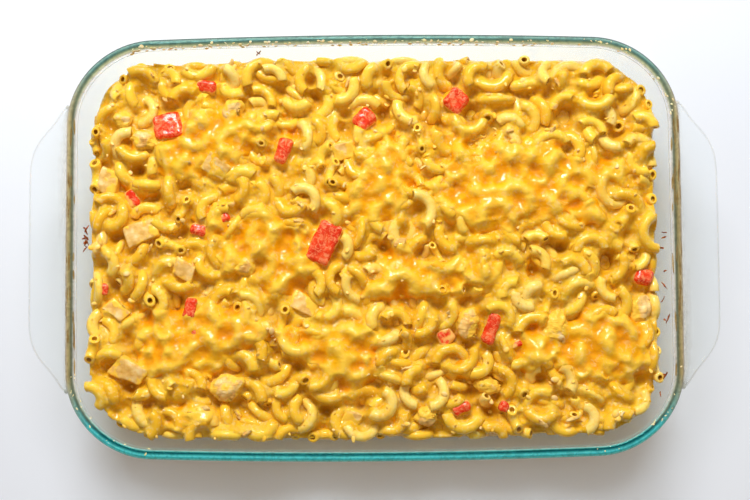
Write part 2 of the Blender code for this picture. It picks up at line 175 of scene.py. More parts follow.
class StudioSettings(bpy.types.PropertyGroup):
    """Floor, light and camera"""
    camera_distance: bpy.props.FloatProperty(
        name="Camera distance", description="From the camera to the middle of the rim",
        default=0.582, subtype="DISTANCE", unit="LENGTH")
    camera_tilt: bpy.props.FloatProperty(
        name="Camera tilt", description="Lean of the camera's line of sight from straight down",
        default=math.radians(2.7), subtype="ANGLE", unit="ROTATION")
    camera_roll: bpy.props.FloatProperty(
        name="Camera roll", description="Turn of the camera about its line of sight",
        default=math.radians(-0.45), subtype="ANGLE", unit="ROTATION")
    key_power: bpy.props.FloatProperty(
        name="Key power", description="Power of the window-like light beyond the dish",
        default=15.5, unit="POWER")
    sky: bpy.props.FloatProperty(
        name="Sky", description="Strength of the light from all round", default=0.5)


# Nodes and materials

def srgb(code):
    """Linear colour of an sRGB hex value."""
    channels = [int(code[i:i + 2], 16) / 255 for i in (0, 2, 4)]
    linear = [c / 12.92 if c <= 0.04045 else ((c + 0.055) / 1.055) ** 2.4 for c in channels]
    return (*linear, 1.0)


def add(tree, kind, settings=None, inputs=None):
    """Add a node with its settings. An input is a socket to link, or else a value."""
    node = tree.nodes.new(kind)
    for name, value in (settings or {}).items():
        setattr(node, name, value)
    for name, value in (inputs or {}).items():
        if isinstance(value, bpy.types.NodeSocket):
            tree.links.new(value, node.inputs[name])
        else:
            node.inputs[name].default_value = value
    return node


def shade_of(value):
    """Colour of a hex code, or grey of a level from 0 to 1. A socket stays as it is."""
    if isinstance(value, str):
        return srgb(value)
    return (value, value, value, 1.0) if isinstance(value, (int, float)) else value


def ramp(tree, factor, *stops):
    """Ramp through the stops, each a position and a hex colour or a level."""
    node = add(tree, "ShaderNodeValToRGB", None, {"Fac": factor})
    elements = node.color_ramp.elements
    elements[0].position, elements[0].color = stops[0][0], shade_of(stops[0][1])
    elements[1].position, elements[1].color = stops[-1][0], shade_of(stops[-1][1])
    for position, value in stops[1:-1]:
        elements.new(position).color = shade_of(value)
    return node.outputs["Color"]


def blend(tree, factor, first, second, mode="MIX"):
    """Mix of two colours or levels."""
    inputs = {0: factor, 6: shade_of(first), 7: shade_of(second)}
    return add(tree, "ShaderNodeMix", {"data_type": "RGBA", "blend_type": mode}, inputs).outputs[2]


def axes_of(tree, vector):
    """A vector's X, Y and Z."""
    return add(tree, "ShaderNodeSeparateXYZ", None, {"Vector": vector}).outputs


def rising(tree, value, start, end):
    """0 where a value is at the start or short of it, and 1 from the end on."""
    inputs = {"Value": value, "From Min": start, "From Max": end}
    return add(tree, "ShaderNodeMapRange", None, inputs).outputs["Result"]


class Finish:
    """A procedural material in the making: tree, Principled shader, Object coordinates and base colour."""

    def __init__(self, name):
        self.material = bpy.data.materials.new(name)
        self.material.use_nodes = True
        self.tree = self.material.node_tree
        self.shader = self.tree.nodes["Principled BSDF"]
        self.place = add(self.tree, "ShaderNodeTexCoord").outputs["Object"]

    def tone(self, name):
        """A number that the mesh carries at each point."""
        return add(self.tree, "ShaderNodeAttribute", {"attribute_name": name}).outputs["Fac"]

    def noise(self, size_mm, detail=2.0, roughness=0.5, distortion=0.0, place=None):
        """Grey noise whose blotches are about that many millimetres across."""
        inputs = {"Vector": self.place if place is None else place, "Scale": 1000 / size_mm,
                  "Detail": detail, "Roughness": roughness, "Distortion": distortion}
        return add(self.tree, "ShaderNodeTexNoise", None, inputs).outputs["Fac"]

    def grain(self, size_mm, detail, roughness, turn, stretch):
        """Noise drawn out into fibres, turned about Z."""
        inputs = {"Vector": self.place, "Rotation": (0, 0, turn), "Scale": stretch}
        stretched = add(self.tree, "ShaderNodeMapping", None, inputs).outputs["Vector"]
        return self.noise(size_mm, detail, roughness, 0.0, stretched)

    def set_base(self, field, *stops):
        """Start the base colour with a ramp through a field."""
        self.base = ramp(self.tree, field, *stops)

    def cover(self, colour, field, *stops):
        """Lay a colour over the base where a field, put through the stops if there are any, is bright."""
        shown = ramp(self.tree, field, *stops) if stops else field
        self.base = blend(self.tree, shown, self.base, colour)

    def cover_with_sauce_and_painted_shade(self):
        """Colour food with melted cheese where that lies, and with painted shade, browner the deeper it is
        sunk in the heap.
        """
        self.cover("FFB80E", self.tone("cheesed"), (0.2, 0.0), (0.9, 0.75))
        self.cover("FFBE2C", self.noise(3, 3.0, 0.6, 0.6), (0.48, 0.0), (0.6, 0.45))
        self.cover("FFE298", self.noise(2.4, 3.0, 0.65), (0.54, 0.0), (0.64, 0.6))
        # Painted shade: browner the deeper a point lies in the heap.
        self.cover("C47E00", self.tone("sunk"), (0.2, 0.0), (0.55, 0.33), (1.0, 0.9))

    def lapped(self, size_mm, start):
        """Where sauce has run over a topping: ragged patches, more of them the deeper it lies."""
        mixed = blend(self.tree, 0.45, self.noise(size_mm), self.tone("sunk"))
        return ramp(self.tree, mixed, (start, 0.0), (start + 0.06, 1.0))

    def mix(self, share, first, second):
        """Mix of two fields."""
        return blend(self.tree, share, first, second)

    def wet_in_patches(self, size_mm, dry, wet):
        """Gloss that comes and goes: an oily film over patches about that wide, golden where it mirrors."""
        film = ramp(self.tree, self.noise(size_mm, 3.0, 0.6), (0.38, 0.15), (0.55, 1.0))
        self.set(Coat_Weight=film, Roughness=ramp(self.tree, film, (0.15, dry), (1.0, wet)))
        self.set(IOR=1.42, Specular_Tint="FFD080", Coat_Roughness=0.08, Coat_IOR=1.42)

    def let_light_in(self, weight, scale_mm, radius):
        """Light that scatters under the surface, farther for red than for blue."""
        self.set(Subsurface_Weight=weight, Subsurface_Scale=scale_mm * MM, Subsurface_Radius=radius)

    def bump(self, depth_mm, strength, height):
        """Relief of a depth in millimetres on the shader's normal."""
        inputs = {"Strength": strength, "Distance": depth_mm * MM, "Height": height}
        self.set(Normal=add(self.tree, "ShaderNodeBump", None, inputs).outputs["Normal"])

    def set(self, **values):
        """Sockets, hex colours or constants on the shader's own inputs, underscores standing for spaces."""
        for name, value in values.items():
            socket = self.shader.inputs[name.replace("_", " ")]
            if isinstance(value, bpy.types.NodeSocket):
                self.tree.links.new(value, socket)
            else:
                socket.default_value = srgb(value) if isinstance(value, str) else value

    def made(self):
        """The material, wearing its base colour."""
        self.set(Base_Color=self.base)
        return self.material


# Painted refraction and reflection lines, dark and bright, that the glass shows across the bead of its rim,
# from outside to inside: near, far and at the ends
NEAR_RIM = (
    (0.0, 1.0), (0.22, "70CCC8"), (0.33, "64E8F4"), (0.42, "78FCFF"), (0.50, "34D8E8"), (0.58, "60F0FC"),
    (0.64, "2CA6A6"), (0.68, "14707A"), (0.72, "02484E"), (0.77, "187E7C"), (0.82, "A8F8F2"),
    (0.87, "9AC4BB"), (0.93, 1.0),
)
FAR_RIM = (
    (0.0, 1.0), (0.25, "C2CDC0"), (0.34, "3C5650"), (0.43, "355651"), (0.48, "7FA79E"), (0.54, "5F8F88"),
    (0.61, "3A625A"), (0.65, "4C6A55"), (0.70, "7C8C62"), (0.74, "B8BE88"), (0.80, "D2D2A4"), (0.92, 1.0),
)
END_RIM = (
    (0.0, 1.0), (0.26, "D8D6CC"), (0.42, "CDBB98"), (0.52, "BCA972"), (0.61, "8C8150"), (0.66, "5E5E40"),
    (0.72, "68705A"), (0.78, "C8C6B8"), (0.85, "F0E8DC"), (0.93, 1.0),
)


def pressed_glass(settings):
    """Pressed soda-lime glass: clear, its rim painted with lines of refraction and reflection, blue-green
    for light that has run far through the glass.

    All but its near side lets light through to the food beside it, as the real rim does.
    """
    glass = Finish("pressed soda-lime glass")
    tree, across = glass.tree, glass.tone("rim")
    y = axes_of(tree, glass.place)["Y"]
    from_middle = add(tree, "ShaderNodeMath", {"operation": "ABSOLUTE"}, {0: y}).outputs["Value"]
    near = rising(tree, y, -60 * MM, -104 * MM)
    at_end = rising(tree, from_middle, 100 * MM, 72 * MM)
    # The rim's base colour and specular tint are painted refraction and reflection lines, made uneven by a
    # noise.
    tint = blend(tree, near, ramp(tree, across, *FAR_RIM), ramp(tree, across, *NEAR_RIM))
    tint = blend(tree, at_end, tint, ramp(tree, across, *END_RIM))
    flow = ramp(tree, glass.noise(3.5, 4.0, 0.6, 1.0), (0.4, 0.3), (0.55, 1.0))
    uneven = ramp(tree, across, (0.1, 0.0), (0.25, 0.4))
    glass.base = blend(tree, uneven, tint, blend(tree, 1.0, tint, flow, "MULTIPLY"))
    passes = ramp(tree, across, (0.0, 1.0), (0.18, 1.0), (0.28, 0.2), (0.78, 0.3), (0.92, 1.0))
    solid = ramp(tree, across, (0.0, 0.22), (0.18, 0.4), (0.28, 1.0), (0.78, 1.0), (0.95, 0.22))
    shadow_ray = add(tree, "ShaderNodeLightPath").outputs["Is Shadow Ray"]
    alpha = blend(tree, blend(tree, near, shadow_ray, 0.0), solid, 0.15)
    glass.set(Specular_Tint=glass.base, Transmission_Weight=passes, Alpha=alpha, Roughness=0.0, IOR=1.5)
    glass.bump(0.12, 0.35, glass.noise(14, 1.0))
    inputs = {"Color": (*settings.tint, 1.0), "Density": settings.tint_density}
    inside = add(tree, "ShaderNodeVolumeAbsorption", None, inputs)
    tree.links.new(inside.outputs["Volume"], tree.nodes["Material Output"].inputs["Volume"])
    return glass.made()


def cooked_pasta():
    """Boiled and baked macaroni: a waxy, translucent yellow under patches of sauce, with painted shade
    brown in its bore.
    """
    pasta = Finish("cooked durum macaroni")
    pasta.set_base(pasta.tone("tone"), (0.0, "F2BC26"), (0.4, "FAC836"), (0.75, "FFD446"), (1.0, "FFE07E"))
    pasta.cover_with_sauce_and_painted_shade()
    # Painted shade inside the bore.
    pasta.cover("B87C14", pasta.tone("bore"))
    pasta.wet_in_patches(5, dry=0.5, wet=0.3)
    pasta.let_light_in(0.3, 1.0, (1.0, 0.78, 0.3))
    pasta.bump(0.5, 0.7, pasta.mix(0.6, pasta.noise(2.8), pasta.noise(0.8, 4.0, 0.7)))
    return pasta.made()


def melted_cheese():
    """Melted cheddar: oily orange-yellow, with painted shade deeper in its hollows and a painted highlight
    paler on its ridges.
    """
    cheese = Finish("melted cheddar")
    cheese.set_base(cheese.noise(14, 4.0), (0.3, "FFA400"), (0.5, "FFB202"), (0.7, "FFC010"))
    # Painted highlight: paler on ridges that stand above the sheet's blurred height.
    cheese.cover("FFD448", cheese.tone("sunk"), (0.0, 0.8), (0.4, 0.0))
    cheese.cover("FFDA8C", cheese.noise(3.4, 3.0, 0.65, 0.8), (0.54, 0.0), (0.68, 0.6))
    # Painted shade: deeper orange in the hollows.
    cheese.cover("E08A00", cheese.tone("sunk"), (0.35, 0.0), (0.9, 0.9))
    cheese.wet_in_patches(6, dry=0.48, wet=0.3)
    cheese.let_light_in(0.2, 1.0, (1.0, 0.8, 0.2))
    cheese.bump(0.9, 0.9, cheese.mix(0.5, cheese.noise(2.6), cheese.noise(0.8, 4.0, 0.7)))
    return cheese.made()


def cheese_sauce():
    """Thick cheese sauce between the elbows: curdled and creamy yellow, with painted shade golden brown in
    deep gaps.
    """
    sauce = Finish("cheese sauce")
    sauce.set_base(sauce.noise(9, 4.0), (0.3, "F6B414"), (0.5, "FCC828"), (0.72, "FFD860"))
    sauce.cover_with_sauce_and_painted_shade()
    sauce.wet_in_patches(4, dry=0.5, wet=0.32)
    sauce.let_light_in(0.2, 1.0, (1.0, 0.72, 0.22))
    sauce.bump(1.4, 1.0, sauce.mix(0.6, sauce.noise(2.4, 3.0), sauce.noise(0.8, 4.0, 0.7)))
    return sauce.made()


def baked_tomato():
    """Baked diced tomato: wet red flesh with paler veins, and cream that has run over its edges."""
    flesh = Finish("baked tomato flesh")
    flesh.set_base(flesh.noise(7, 3.0), (0.3, "DA2400"), (0.5, "EA3606"), (0.72, "F65A20"))
    flesh.cover("FF9C68", flesh.noise(3.0, 4.0, 0.65, 1.5), (0.46, 0.0), (0.62, 0.8))
    lap = flesh.lapped(6, 0.56)
    flesh.cover("FFCB6C", blend(flesh.tree, 1.0, lap, 0.85, "MULTIPLY"))
    flesh.let_light_in(0.2, 1.0, (1.0, 0.4, 0.15))
    flesh.set(Roughness=0.25, IOR=1.4, Coat_Weight=0.25, Coat_Roughness=0.1)
    relief = flesh.mix(0.5, flesh.noise(4), flesh.noise(1.3, 3.0, 0.6))
    flesh.bump(0.35, 0.6, flesh.mix(0.5, relief, lap))
    return flesh.made()


def soft_onion():
    """Softened onion: pale, translucent and faintly striped along its grain, with sauce in patches."""
    onion = Finish("softened onion")
    onion.set_base(onion.noise(5, 3.0), (0.32, "DCA850"), (0.5, "EEC474"), (0.68, "FADC9E"))
    lap = onion.lapped(6, 0.44)
    onion.cover("FFCC48", lap)
    onion.let_light_in(0.4, 1.8, (1.0, 0.75, 0.35))
    onion.set(Roughness=0.3, IOR=1.4, Specular_Tint="FFDC98", Coat_Weight=0.15, Coat_Roughness=0.12)
    grain = onion.grain(1.6, 3.0, 0.5, 0.5, (0.3, 1.4, 1.0))
    onion.bump(0.6, 0.6, onion.mix(0.6, grain, lap))
    return onion.made()


def cooked_chicken():
    """Torn chicken breast: fibrous tan with browned spots, and cheese sauce over much of it."""
    meat = Finish("cooked chicken breast")
    meat.set_base(meat.noise(6, 4.0), (0.3, "E6AA54"), (0.5, "F6CA78"), (0.72, "FCE0A4"))
    lap = meat.lapped(7, 0.32)
    meat.cover("FFCC48", lap)
    meat.cover("8A4A18", meat.noise(1.6, 3.0, 0.6), (0.7, 0.0), (0.76, 0.6))
    meat.let_light_in(0.25, 1.2, (1.0, 0.65, 0.3))
    meat.set(Roughness=0.36, IOR=1.42, Specular_Tint="FFDC98", Coat_Weight=0.15, Coat_Roughness=0.14)
    fibre = meat.grain(1.5, 3.0, 0.6, 0.6, (0.35, 1.6, 1.0))
    meat.bump(1.2, 0.8, meat.mix(0.4, fibre, lap))
    return meat.made()


def blotched(name, size_mm, detail, stops, **values):
    """Material of one blotchy colour, with values for its shader."""
    finish = Finish(name)
    finish.set_base(finish.noise(size_mm, detail), *stops)
    finish.set(**values)
    return finish.made()


def set_curd():
    """Specks of cheese sauce that have set in the oven: pale, smooth and hardly glossy."""
    stops = (0.35, "FCC43C"), (0.5, "FFD468"), (0.65, "FFDC98")
    return blotched("set cheese curd", 6, 2.0, stops, Roughness=0.4, IOR=1.42, Specular_Tint="FFD080")


def dried_cream():
    """Cream baked dry on the glass: matt and pale yellow."""
    stops = (0.35, "E8D692"), (0.65, "F6ECC4")
    lit = {"Subsurface_Weight": 0.3, "Subsurface_Scale": 0.6 * MM}
    return blotched("dried cream", 3, 2.0, stops, Roughness=0.5, **lit)


def baked_oil():
    """Film of oil baked on to the rim: clear amber, brown where it is thick."""
    stops = (0.35, "D9B464"), (0.6, "F0D698"), (0.75, "B98A3E")
    return blotched("baked-on oil", 5, 3.0, stops, Roughness=0.2, IOR=1.46, Transmission_Weight=0.8)


def burnt_crumb():
    """Sauce burnt to a crisp on the wall: dark red-brown."""
    return blotched("burnt sauce", 2, 2.0, ((0.4, "8A3408"), (0.65, "C46A22")), Roughness=0.45)


def pale_floor():
    """Matt white laminate under the dish."""
    return blotched("matt white laminate", 400, 2.0, ((0.4, "E7EFFB"), (0.6, "EBF3FE")), Roughness=0.55)


# Plan and section of the dish

def plan(inset, corner_steps, side_steps):
    """Points round the dish at a distance inside its rim, as an array of x and y."""
    half_x, half_y = HALF_LENGTH - inset, HALF_WIDTH - inset
    corner = max(RIM_CORNER - inset, 0.0)
    points = []
    for quarter in range(4):
        start = math.pi / 2 * quarter
        middle_x = (half_x - corner) * (1 if quarter in (0, 3) else -1)
        middle_y = (half_y - corner) * (1 if quarter in (0, 1) else -1)
        angles = start + np.linspace(0, math.pi / 2, corner_steps + 1)
        points.append(np.stack([middle_x + corner * np.cos(angles), middle_y + corner * np.sin(angles)], 1))
        along = 2 * (half_x - corner) if quarter in (0, 2) else 2 * (half_y - corner)
        reach = along * np.arange(1, side_steps) / side_steps
        heading = start + math.pi
        points.append(points[-1][-1] + np.outer(reach, (math.cos(heading), math.sin(heading))))
    points = np.concatenate(points)
    x, y = points[:, 0], points[:, 1]
    return np.stack([x * (1 - SHORT_SIDE_BOW / half_x * (y / half_y) ** 2),
                     y * (1 - LONG_SIDE_BOW / half_y * (x / half_x) ** 2)], 1)


def plan_inset(x, y):
    """How far inside the rim's outline each place lies."""
    wide = np.abs(x) / (1 - SHORT_SIDE_BOW / HALF_LENGTH * (y / HALF_WIDTH) ** 2)
    deep = np.abs(y) / (1 - LONG_SIDE_BOW / HALF_WIDTH * (x / HALF_LENGTH) ** 2)
    over_x = wide - (HALF_LENGTH - RIM_CORNER)
    over_y = deep - (HALF_WIDTH - RIM_CORNER)
    outside = np.hypot(np.maximum(over_x, 0), np.maximum(over_y, 0))
    return RIM_CORNER - outside - np.minimum(np.maximum(over_x, over_y), 0)


def outer_wall(z):
    """Inset of the wall's outer face at a height."""
    return WALL_SET_BACK + (DISH_HEIGHT - z) * math.tan(WALL_LEAN)


def inner_wall(z):
    """Inset of the wall's inner face at a height."""
    return outer_wall(z) + WALL / math.cos(WALL_LEAN)


def fillet(wall, floor, radius, steps):
    """Arc from a level floor up to the leaning wall, as insets and heights."""
    centre_z = floor + radius
    centre = wall(centre_z) + radius / math.cos(WALL_LEAN)
    angles = np.linspace(math.pi / 2, WALL_LEAN, steps + 1)
    return [(centre - radius * math.cos(a), centre_z - radius * math.sin(a)) for a in angles]


def dish_section():
    """Half section of the dish, from the middle of its foot round to the middle of its floor."""
    section = fillet(outer_wall, 0.0, FOOT_RADIUS, 10)
    bead_z = DISH_HEIGHT - RIM_BEAD
    straight = np.linspace(section[-1][1], bead_z - 4 * MM, 8)[1:]
    section += [(outer_wall(z), z) for z in straight]
    for angle in np.radians(np.linspace(-48, 180, 20)):
        section.append((RIM_BEAD - RIM_BEAD * math.cos(angle), bead_z + RIM_BEAD * math.sin(angle)))
    inside = fillet(inner_wall, FLOOR, INNER_RADIUS, 10)[::-1]
    straight = np.linspace(bead_z - 3 * MM, inside[0][1], 8)[:-1]
    section += [(inner_wall(z), z) for z in straight] + inside
    return section


def placed(name, data):
    """New object in the scene, at the origin."""
    item = bpy.data.objects.new(name, data)
    bpy.context.scene.collection.objects.link(item)
    return item


def mesh_object(name, points, faces, material):
    """New object of a smooth mesh."""
    mesh = bpy.data.meshes.new(name)
    mesh.from_pydata(np.asarray(points).tolist(), [], [list(map(int, face)) for face in faces])
    mesh.validate()
    mesh.shade_smooth()
    mesh.materials.append(material)
    return placed(name, mesh)


def points_of(item):
    """The x, y and z of a mesh's points."""
    places = np.empty(len(item.data.vertices) * 3, np.float32)
    item.data.vertices.foreach_get("co", places)
    return places.reshape(-1, 3).T.astype(float)


def write_layer(mesh, label, values):
    """Let each point of a mesh carry a number or a vector."""
    values = np.asarray(values, np.float32)
    kind, field_name = ("FLOAT", "value") if values.ndim == 1 else ("FLOAT_VECTOR", "vector")
    mesh.attributes.new(label, kind, "POINT").data.foreach_set(field_name, values.ravel())


def ring_faces(rings, around, loop=False):
    """Quads between rings of points laid one after the other. A face closes each end, or the rings loop."""
    faces = []
    for ring in range(rings if loop else rings - 1):
        low, high = ring * around, (ring + 1) % rings * around
        for i in range(around):
            j = (i + 1) % around
            faces.append((low + i, low + j, high + j, high + i))
    if not loop:
        faces.append(tuple(range(around - 1, -1, -1)))
        faces.append(tuple(range((rings - 1) * around, rings * around)))
    return faces


def turn_outwards(item):
    """Recalculate which way the faces of a closed mesh point."""
    bm = bmesh.new()
    bm.from_mesh(item.data)
    bmesh.ops.recalc_face_normals(bm, faces=bm.faces)
    bm.to_mesh(item.data)
    bm.free()


def finished_mesh(item):
    """Replace an object's mesh and modifiers by what they make."""
    graph = bpy.context.evaluated_depsgraph_get()
    result = bpy.data.meshes.new_from_object(item.evaluated_get(graph))
    item.modifiers.clear()
    item.data = result


def dress(item, slot, *nodes):
    """Let a finished piece ride on the one body, for the nodes it stands for, which it hides. The slot is
    not used.
    """
    if nodes:
        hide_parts(*nodes)
    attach(item, "root")


# Glass dish

def handle_outline():
    """Outline of a handle, its corners cut twice to round it: reach and distance from the middle."""
    half = np.array(HANDLE_OUTLINE) * MM
    whole = np.concatenate([half * (1, -1), half[::-1]])
    for _ in range(2):
        ahead, behind = whole[:-1] * 0.75 + whole[1:] * 0.25, whole[:-1] * 0.25 + whole[1:] * 0.75
        whole = np.concatenate([whole[:1], np.stack([ahead, behind], 1).reshape(-1, 2), whole[-1:]])
    return whole


def handle_blank(side):
    """One flat handle: a lens of glass with a round edge, which droops outwards."""
    edge = HANDLE_THICKNESS / 2
    outline = handle_outline()
    rings = []
    for angle in np.radians(np.linspace(-82, 82, 9)):
        trim = edge * (1 - math.cos(angle)) * 0.9
        rise = edge + edge * math.sin(angle)
        reach = outline[:, 0] * (1 - trim / HANDLE_REACH)
        away = outline[:, 1] * (1 - trim / HANDLE_HALF_ROOT)
        z = HANDLE_TOP - HANDLE_THICKNESS + rise - HANDLE_DROP * outline[:, 0] / HANDLE_REACH
        ring = np.stack([side * (HALF_LENGTH + reach), away, z], 1)
        root = side * (HALF_LENGTH - HANDLE_ROOT_DEPTH)
        ends = [(root, ring[-1][1], ring[-1][2]), (root, ring[0][1], ring[0][2])]
        rings.append(np.concatenate([ring, ends]))
    item = mesh_object("handle", np.concatenate(rings), ring_faces(len(rings), len(rings[0])), None)
    turn_outwards(item)
    return item


def mark_rim(item):
    """Give each point its place across the rim's bead: 0 elsewhere, then 0.05 outside to 1 inside."""
    x, y, z = points_of(item)
    turn = np.degrees(np.arctan2(z - (DISH_HEIGHT - RIM_BEAD), RIM_BEAD - plan_inset(x, y)))
    on_bead = (z > DISH_HEIGHT - 2.2 * RIM_BEAD) & (np.abs(x) < HALF_LENGTH + 0.3 * MM)
    write_layer(item.data, "rim", np.where(on_bead, np.clip((turn + 50) / 230, 0.0, 1), 0))


def make_glass_dish(settings):
    """The dish as rings of its plan stacked along its section, with a handle joined to each end."""
    section = dish_section()
    rings = [plan(inset, settings.corner_steps, settings.side_steps) for inset, _ in section]
    points = [np.column_stack([ring, np.full(len(ring), z)]) for ring, (_, z) in zip(rings, section)]
    glass = pressed_glass(settings)
    faces = ring_faces(len(points), len(points[0]))
    dish = mesh_object("baking_dish", np.concatenate(points), faces, glass)
    turn_outwards(dish)
    for side in (-1, 1):
        handle = handle_blank(side)
        join = dish.modifiers.new("join handle", "BOOLEAN")
        join.operation = "UNION"
        join.object = handle
        finished_mesh(dish)
        bpy.data.objects.remove(handle, do_unlink=True)
    dish.data.materials.clear()
    dish.data.materials.append(glass)
    mark_rim(dish)
    dish.data.shade_smooth()
    dish.data.set_sharp_from_angle(angle=math.radians(70))
    dress(dish, "glass", "glass_dish")


# What has baked on to the glass

def way_round(inset, along):
    """Place and heading at a share of the way round the plan at an inset, and the length of that way."""
    ring = plan(inset, *RING_STEPS)
    ring = np.concatenate([ring, ring[:1]])
    steps = np.hypot(*np.diff(ring, axis=0).T)
    length = np.concatenate([[0], np.cumsum(steps)])
    at = (along % 1.0) * length[-1]
    k = min(int(np.searchsorted(length, at, side="right")) - 1, len(steps) - 1)
    x, y = np.interp(at, length, ring[:, 0]), np.interp(at, length, ring[:, 1])
    return x, y, (ring[k + 1] - ring[k]) / steps[k], length[-1]


def bead_place(along, turn):
    """Point on the bead at a share of the way round and an angle across, its normal and its tangent."""
    x, y, heading, _ = way_round(RIM_BEAD, along)
    normal = Vector((heading[1], -heading[0], 0)) * math.cos(turn) + Vector((0, 0, math.sin(turn)))
    return Vector((x, y, DISH_HEIGHT - RIM_BEAD)) + normal * RIM_BEAD, normal, Vector((*heading, 0))


def wall_frame(along, z):
    """Point on the inner wall at a share of the way round and a height, its normal and the way's length."""
    x, y, heading, girdle = way_round(float(inner_wall(z)), along)
    inward = Vector((-heading[1], heading[0], 0))
    normal = (inward * math.cos(WALL_LEAN) + Vector((0, 0, 1)) * math.sin(WALL_LEAN)).normalized()
    return Vector((x, y, z)), normal, girdle


def turn_of(normal, tangent, spin):
    """XYZ turn that lays a speck's third axis on a normal, its first along a tangent turned by a spin."""
    axes = Matrix((tangent, normal.cross(tangent), normal)).transposed() @ Matrix.Rotation(spin, 3, "Z")
    return axes.to_euler()


def rim_specks(rng, count, start, end, turns, sizes, flat, spin_by):
    """Rows of specks (place, turn, size) on the bead between two shares of the way round."""
    rows = []
    for _ in range(count):
        turn = math.radians(rng.uniform(*turns))
        point, normal, tangent = bead_place(rng.uniform(start, end), turn)
        long = rng.uniform(*sizes) * MM
        wide = long * rng.uniform(0.3, 0.8)
        rows.append((*point, *turn_of(normal, tangent, rng.normal(0, spin_by)), long, wide, flat * MM))
    return rows


def wall_specks(rng, places, sizes):
    """Rows of burnt flakes on the inner wall, each place a share of the way round and a height in mm."""
    rows = []
    for along, z, count in places:
        for _ in range(count):
            point, normal, _ = wall_frame(along + rng.normal(0, 0.004), (z + rng.normal(0, 1.2)) * MM)
            up = (Vector((0, 0, 1)) - normal * normal.z).normalized()
            long = rng.uniform(*sizes) * MM
            rows.append((*point, *turn_of(normal, up, rng.uniform(-0.9, 0.9)), long, 0.8 * MM, 0.5 * MM))
    return rows


def carried(tree, name, kind="FLOAT"):
    """A number or vector that the points carry."""
    node = add(tree, "GeometryNodeInputNamedAttribute", {"data_type": kind}, {"Name": name})
    return node.outputs["Attribute"]


def reckoned(tree, operation, *values):
    """Result of a sum on numbers."""
    return add(tree, "ShaderNodeMath", {"operation": operation}, dict(enumerate(values))).outputs["Value"]


def vector_reckoned(tree, operation, *values, **named):
    """Result of a sum on vectors."""
    inputs = {**dict(enumerate(values)), **named}
    return add(tree, "ShaderNodeVectorMath", {"operation": operation}, inputs).outputs["Vector"]


def bent_place(tree, here):
    """Where a point of a straight tube lies once the tube is bent to its arc, flattened and turned."""
    times = functools.partial(reckoned, tree, "MULTIPLY")
    place = carried(tree, "place", "FLOAT_VECTOR")
    axes = axes_of(tree, vector_reckoned(tree, "SUBTRACT", here, place))
    girth, bend, sweep = (carried(tree, name) for name in ("girth", "bend", "sweep"))
    angle = times(axes["Z"], sweep)
    reach = reckoned(tree, "ADD", bend, times(axes["X"], girth))
    half = times(sweep, 0.5)
    middle = reckoned(tree, "DIVIDE", times(bend, reckoned(tree, "SINE", half)), half)
    x = reckoned(tree, "SUBTRACT", times(reach, reckoned(tree, "COSINE", angle)), middle)
    y = times(reach, reckoned(tree, "SINE", angle))
    z = times(axes["Y"], times(girth, carried(tree, "flatness")))
    bent = add(tree, "ShaderNodeCombineXYZ", None, {"X": x, "Y": y, "Z": z}).outputs["Vector"]
    inputs = {"Vector": bent, "Rotation": carried(tree, "turn", "FLOAT_VECTOR")}
    turned = add(tree, "ShaderNodeVectorRotate", {"rotation_type": "EULER_XYZ"}, inputs).outputs["Vector"]
    return vector_reckoned(tree, "ADD", turned, place)


def laying_tree(blank, material, bends, lump_scale):
    """Node tree that sets a blank on each point, bent to its arc or else turned and sized, and dents it."""
    tree = bpy.data.node_groups.new("lay pieces", "GeometryNodeTree")
    tree.interface.new_socket("Points", in_out="INPUT", socket_type="NodeSocketGeometry")
    dent = tree.interface.new_socket("Dent", in_out="INPUT", socket_type="NodeSocketFloat")
    tree.interface.new_socket("Pieces", in_out="OUTPUT", socket_type="NodeSocketGeometry")
    given = add(tree, "NodeGroupInput").outputs
    piece = add(tree, "GeometryNodeObjectInfo", None, {"Object": blank}).outputs["Geometry"]
    inputs = {"Points": given["Points"], "Instance": piece}
    if not bends:
        turn = {"Euler": carried(tree, "turn", "FLOAT_VECTOR")}
        inputs["Rotation"] = add(tree, "FunctionNodeEulerToRotation", None, turn).outputs["Rotation"]
        inputs["Scale"] = carried(tree, "size", "FLOAT_VECTOR")
    laid = add(tree, "GeometryNodeInstanceOnPoints", None, inputs)
    real = add(tree, "GeometryNodeRealizeInstances", None, {"Geometry": laid.outputs["Instances"]})
    here = add(tree, "GeometryNodeInputPosition").outputs["Position"]
    put = bent_place(tree, here) if bends else here
    lumps = add(tree, "ShaderNodeTexNoise", None, {"Vector": put, "Scale": lump_scale, "Detail": 1.0})
    centred = vector_reckoned(tree, "SUBTRACT", lumps.outputs["Color"], (0.5, 0.5, 0.5))
    final = vector_reckoned(tree, "ADD", put, vector_reckoned(tree, "SCALE", centred, Scale=given["Dent"]))
    shape = real.outputs["Geometry"]
    for kind, inputs in (
        ("GeometryNodeSetPosition", {"Position": final}),
        ("GeometryNodeSetShadeSmooth", {}),
        ("GeometryNodeSetMaterial", {"Material": material}),
    ):
        shape = add(tree, kind, None, {"Geometry": shape, **inputs}).outputs["Geometry"]
    add(tree, "NodeGroupOutput", None, {"Pieces": shape})
    return tree, dent.identifier


def lay_pieces(name, layers, blank, material, bends, lump_scale, dent_mm):
    """One plain mesh of copies of a blank, laid by layers of places, turns and so on. The tone stays."""
    mesh = bpy.data.meshes.new(name)
    mesh.from_pydata(layers["place"].tolist(), [], [])
    for label, values in layers.items():
        write_layer(mesh, label, values)
    item = placed(name, mesh)
    step = item.modifiers.new("lay pieces", "NODES")
    step.node_group, dent = laying_tree(blank, material, bends, lump_scale)
    step[dent] = dent_mm * MM
    finished_mesh(item)
    bpy.data.objects.remove(blank, do_unlink=True)
    for label in layers:
        layer = item.data.attributes.get(label)
        if layer and label != "tone":
            item.data.attributes.remove(layer)
    return item


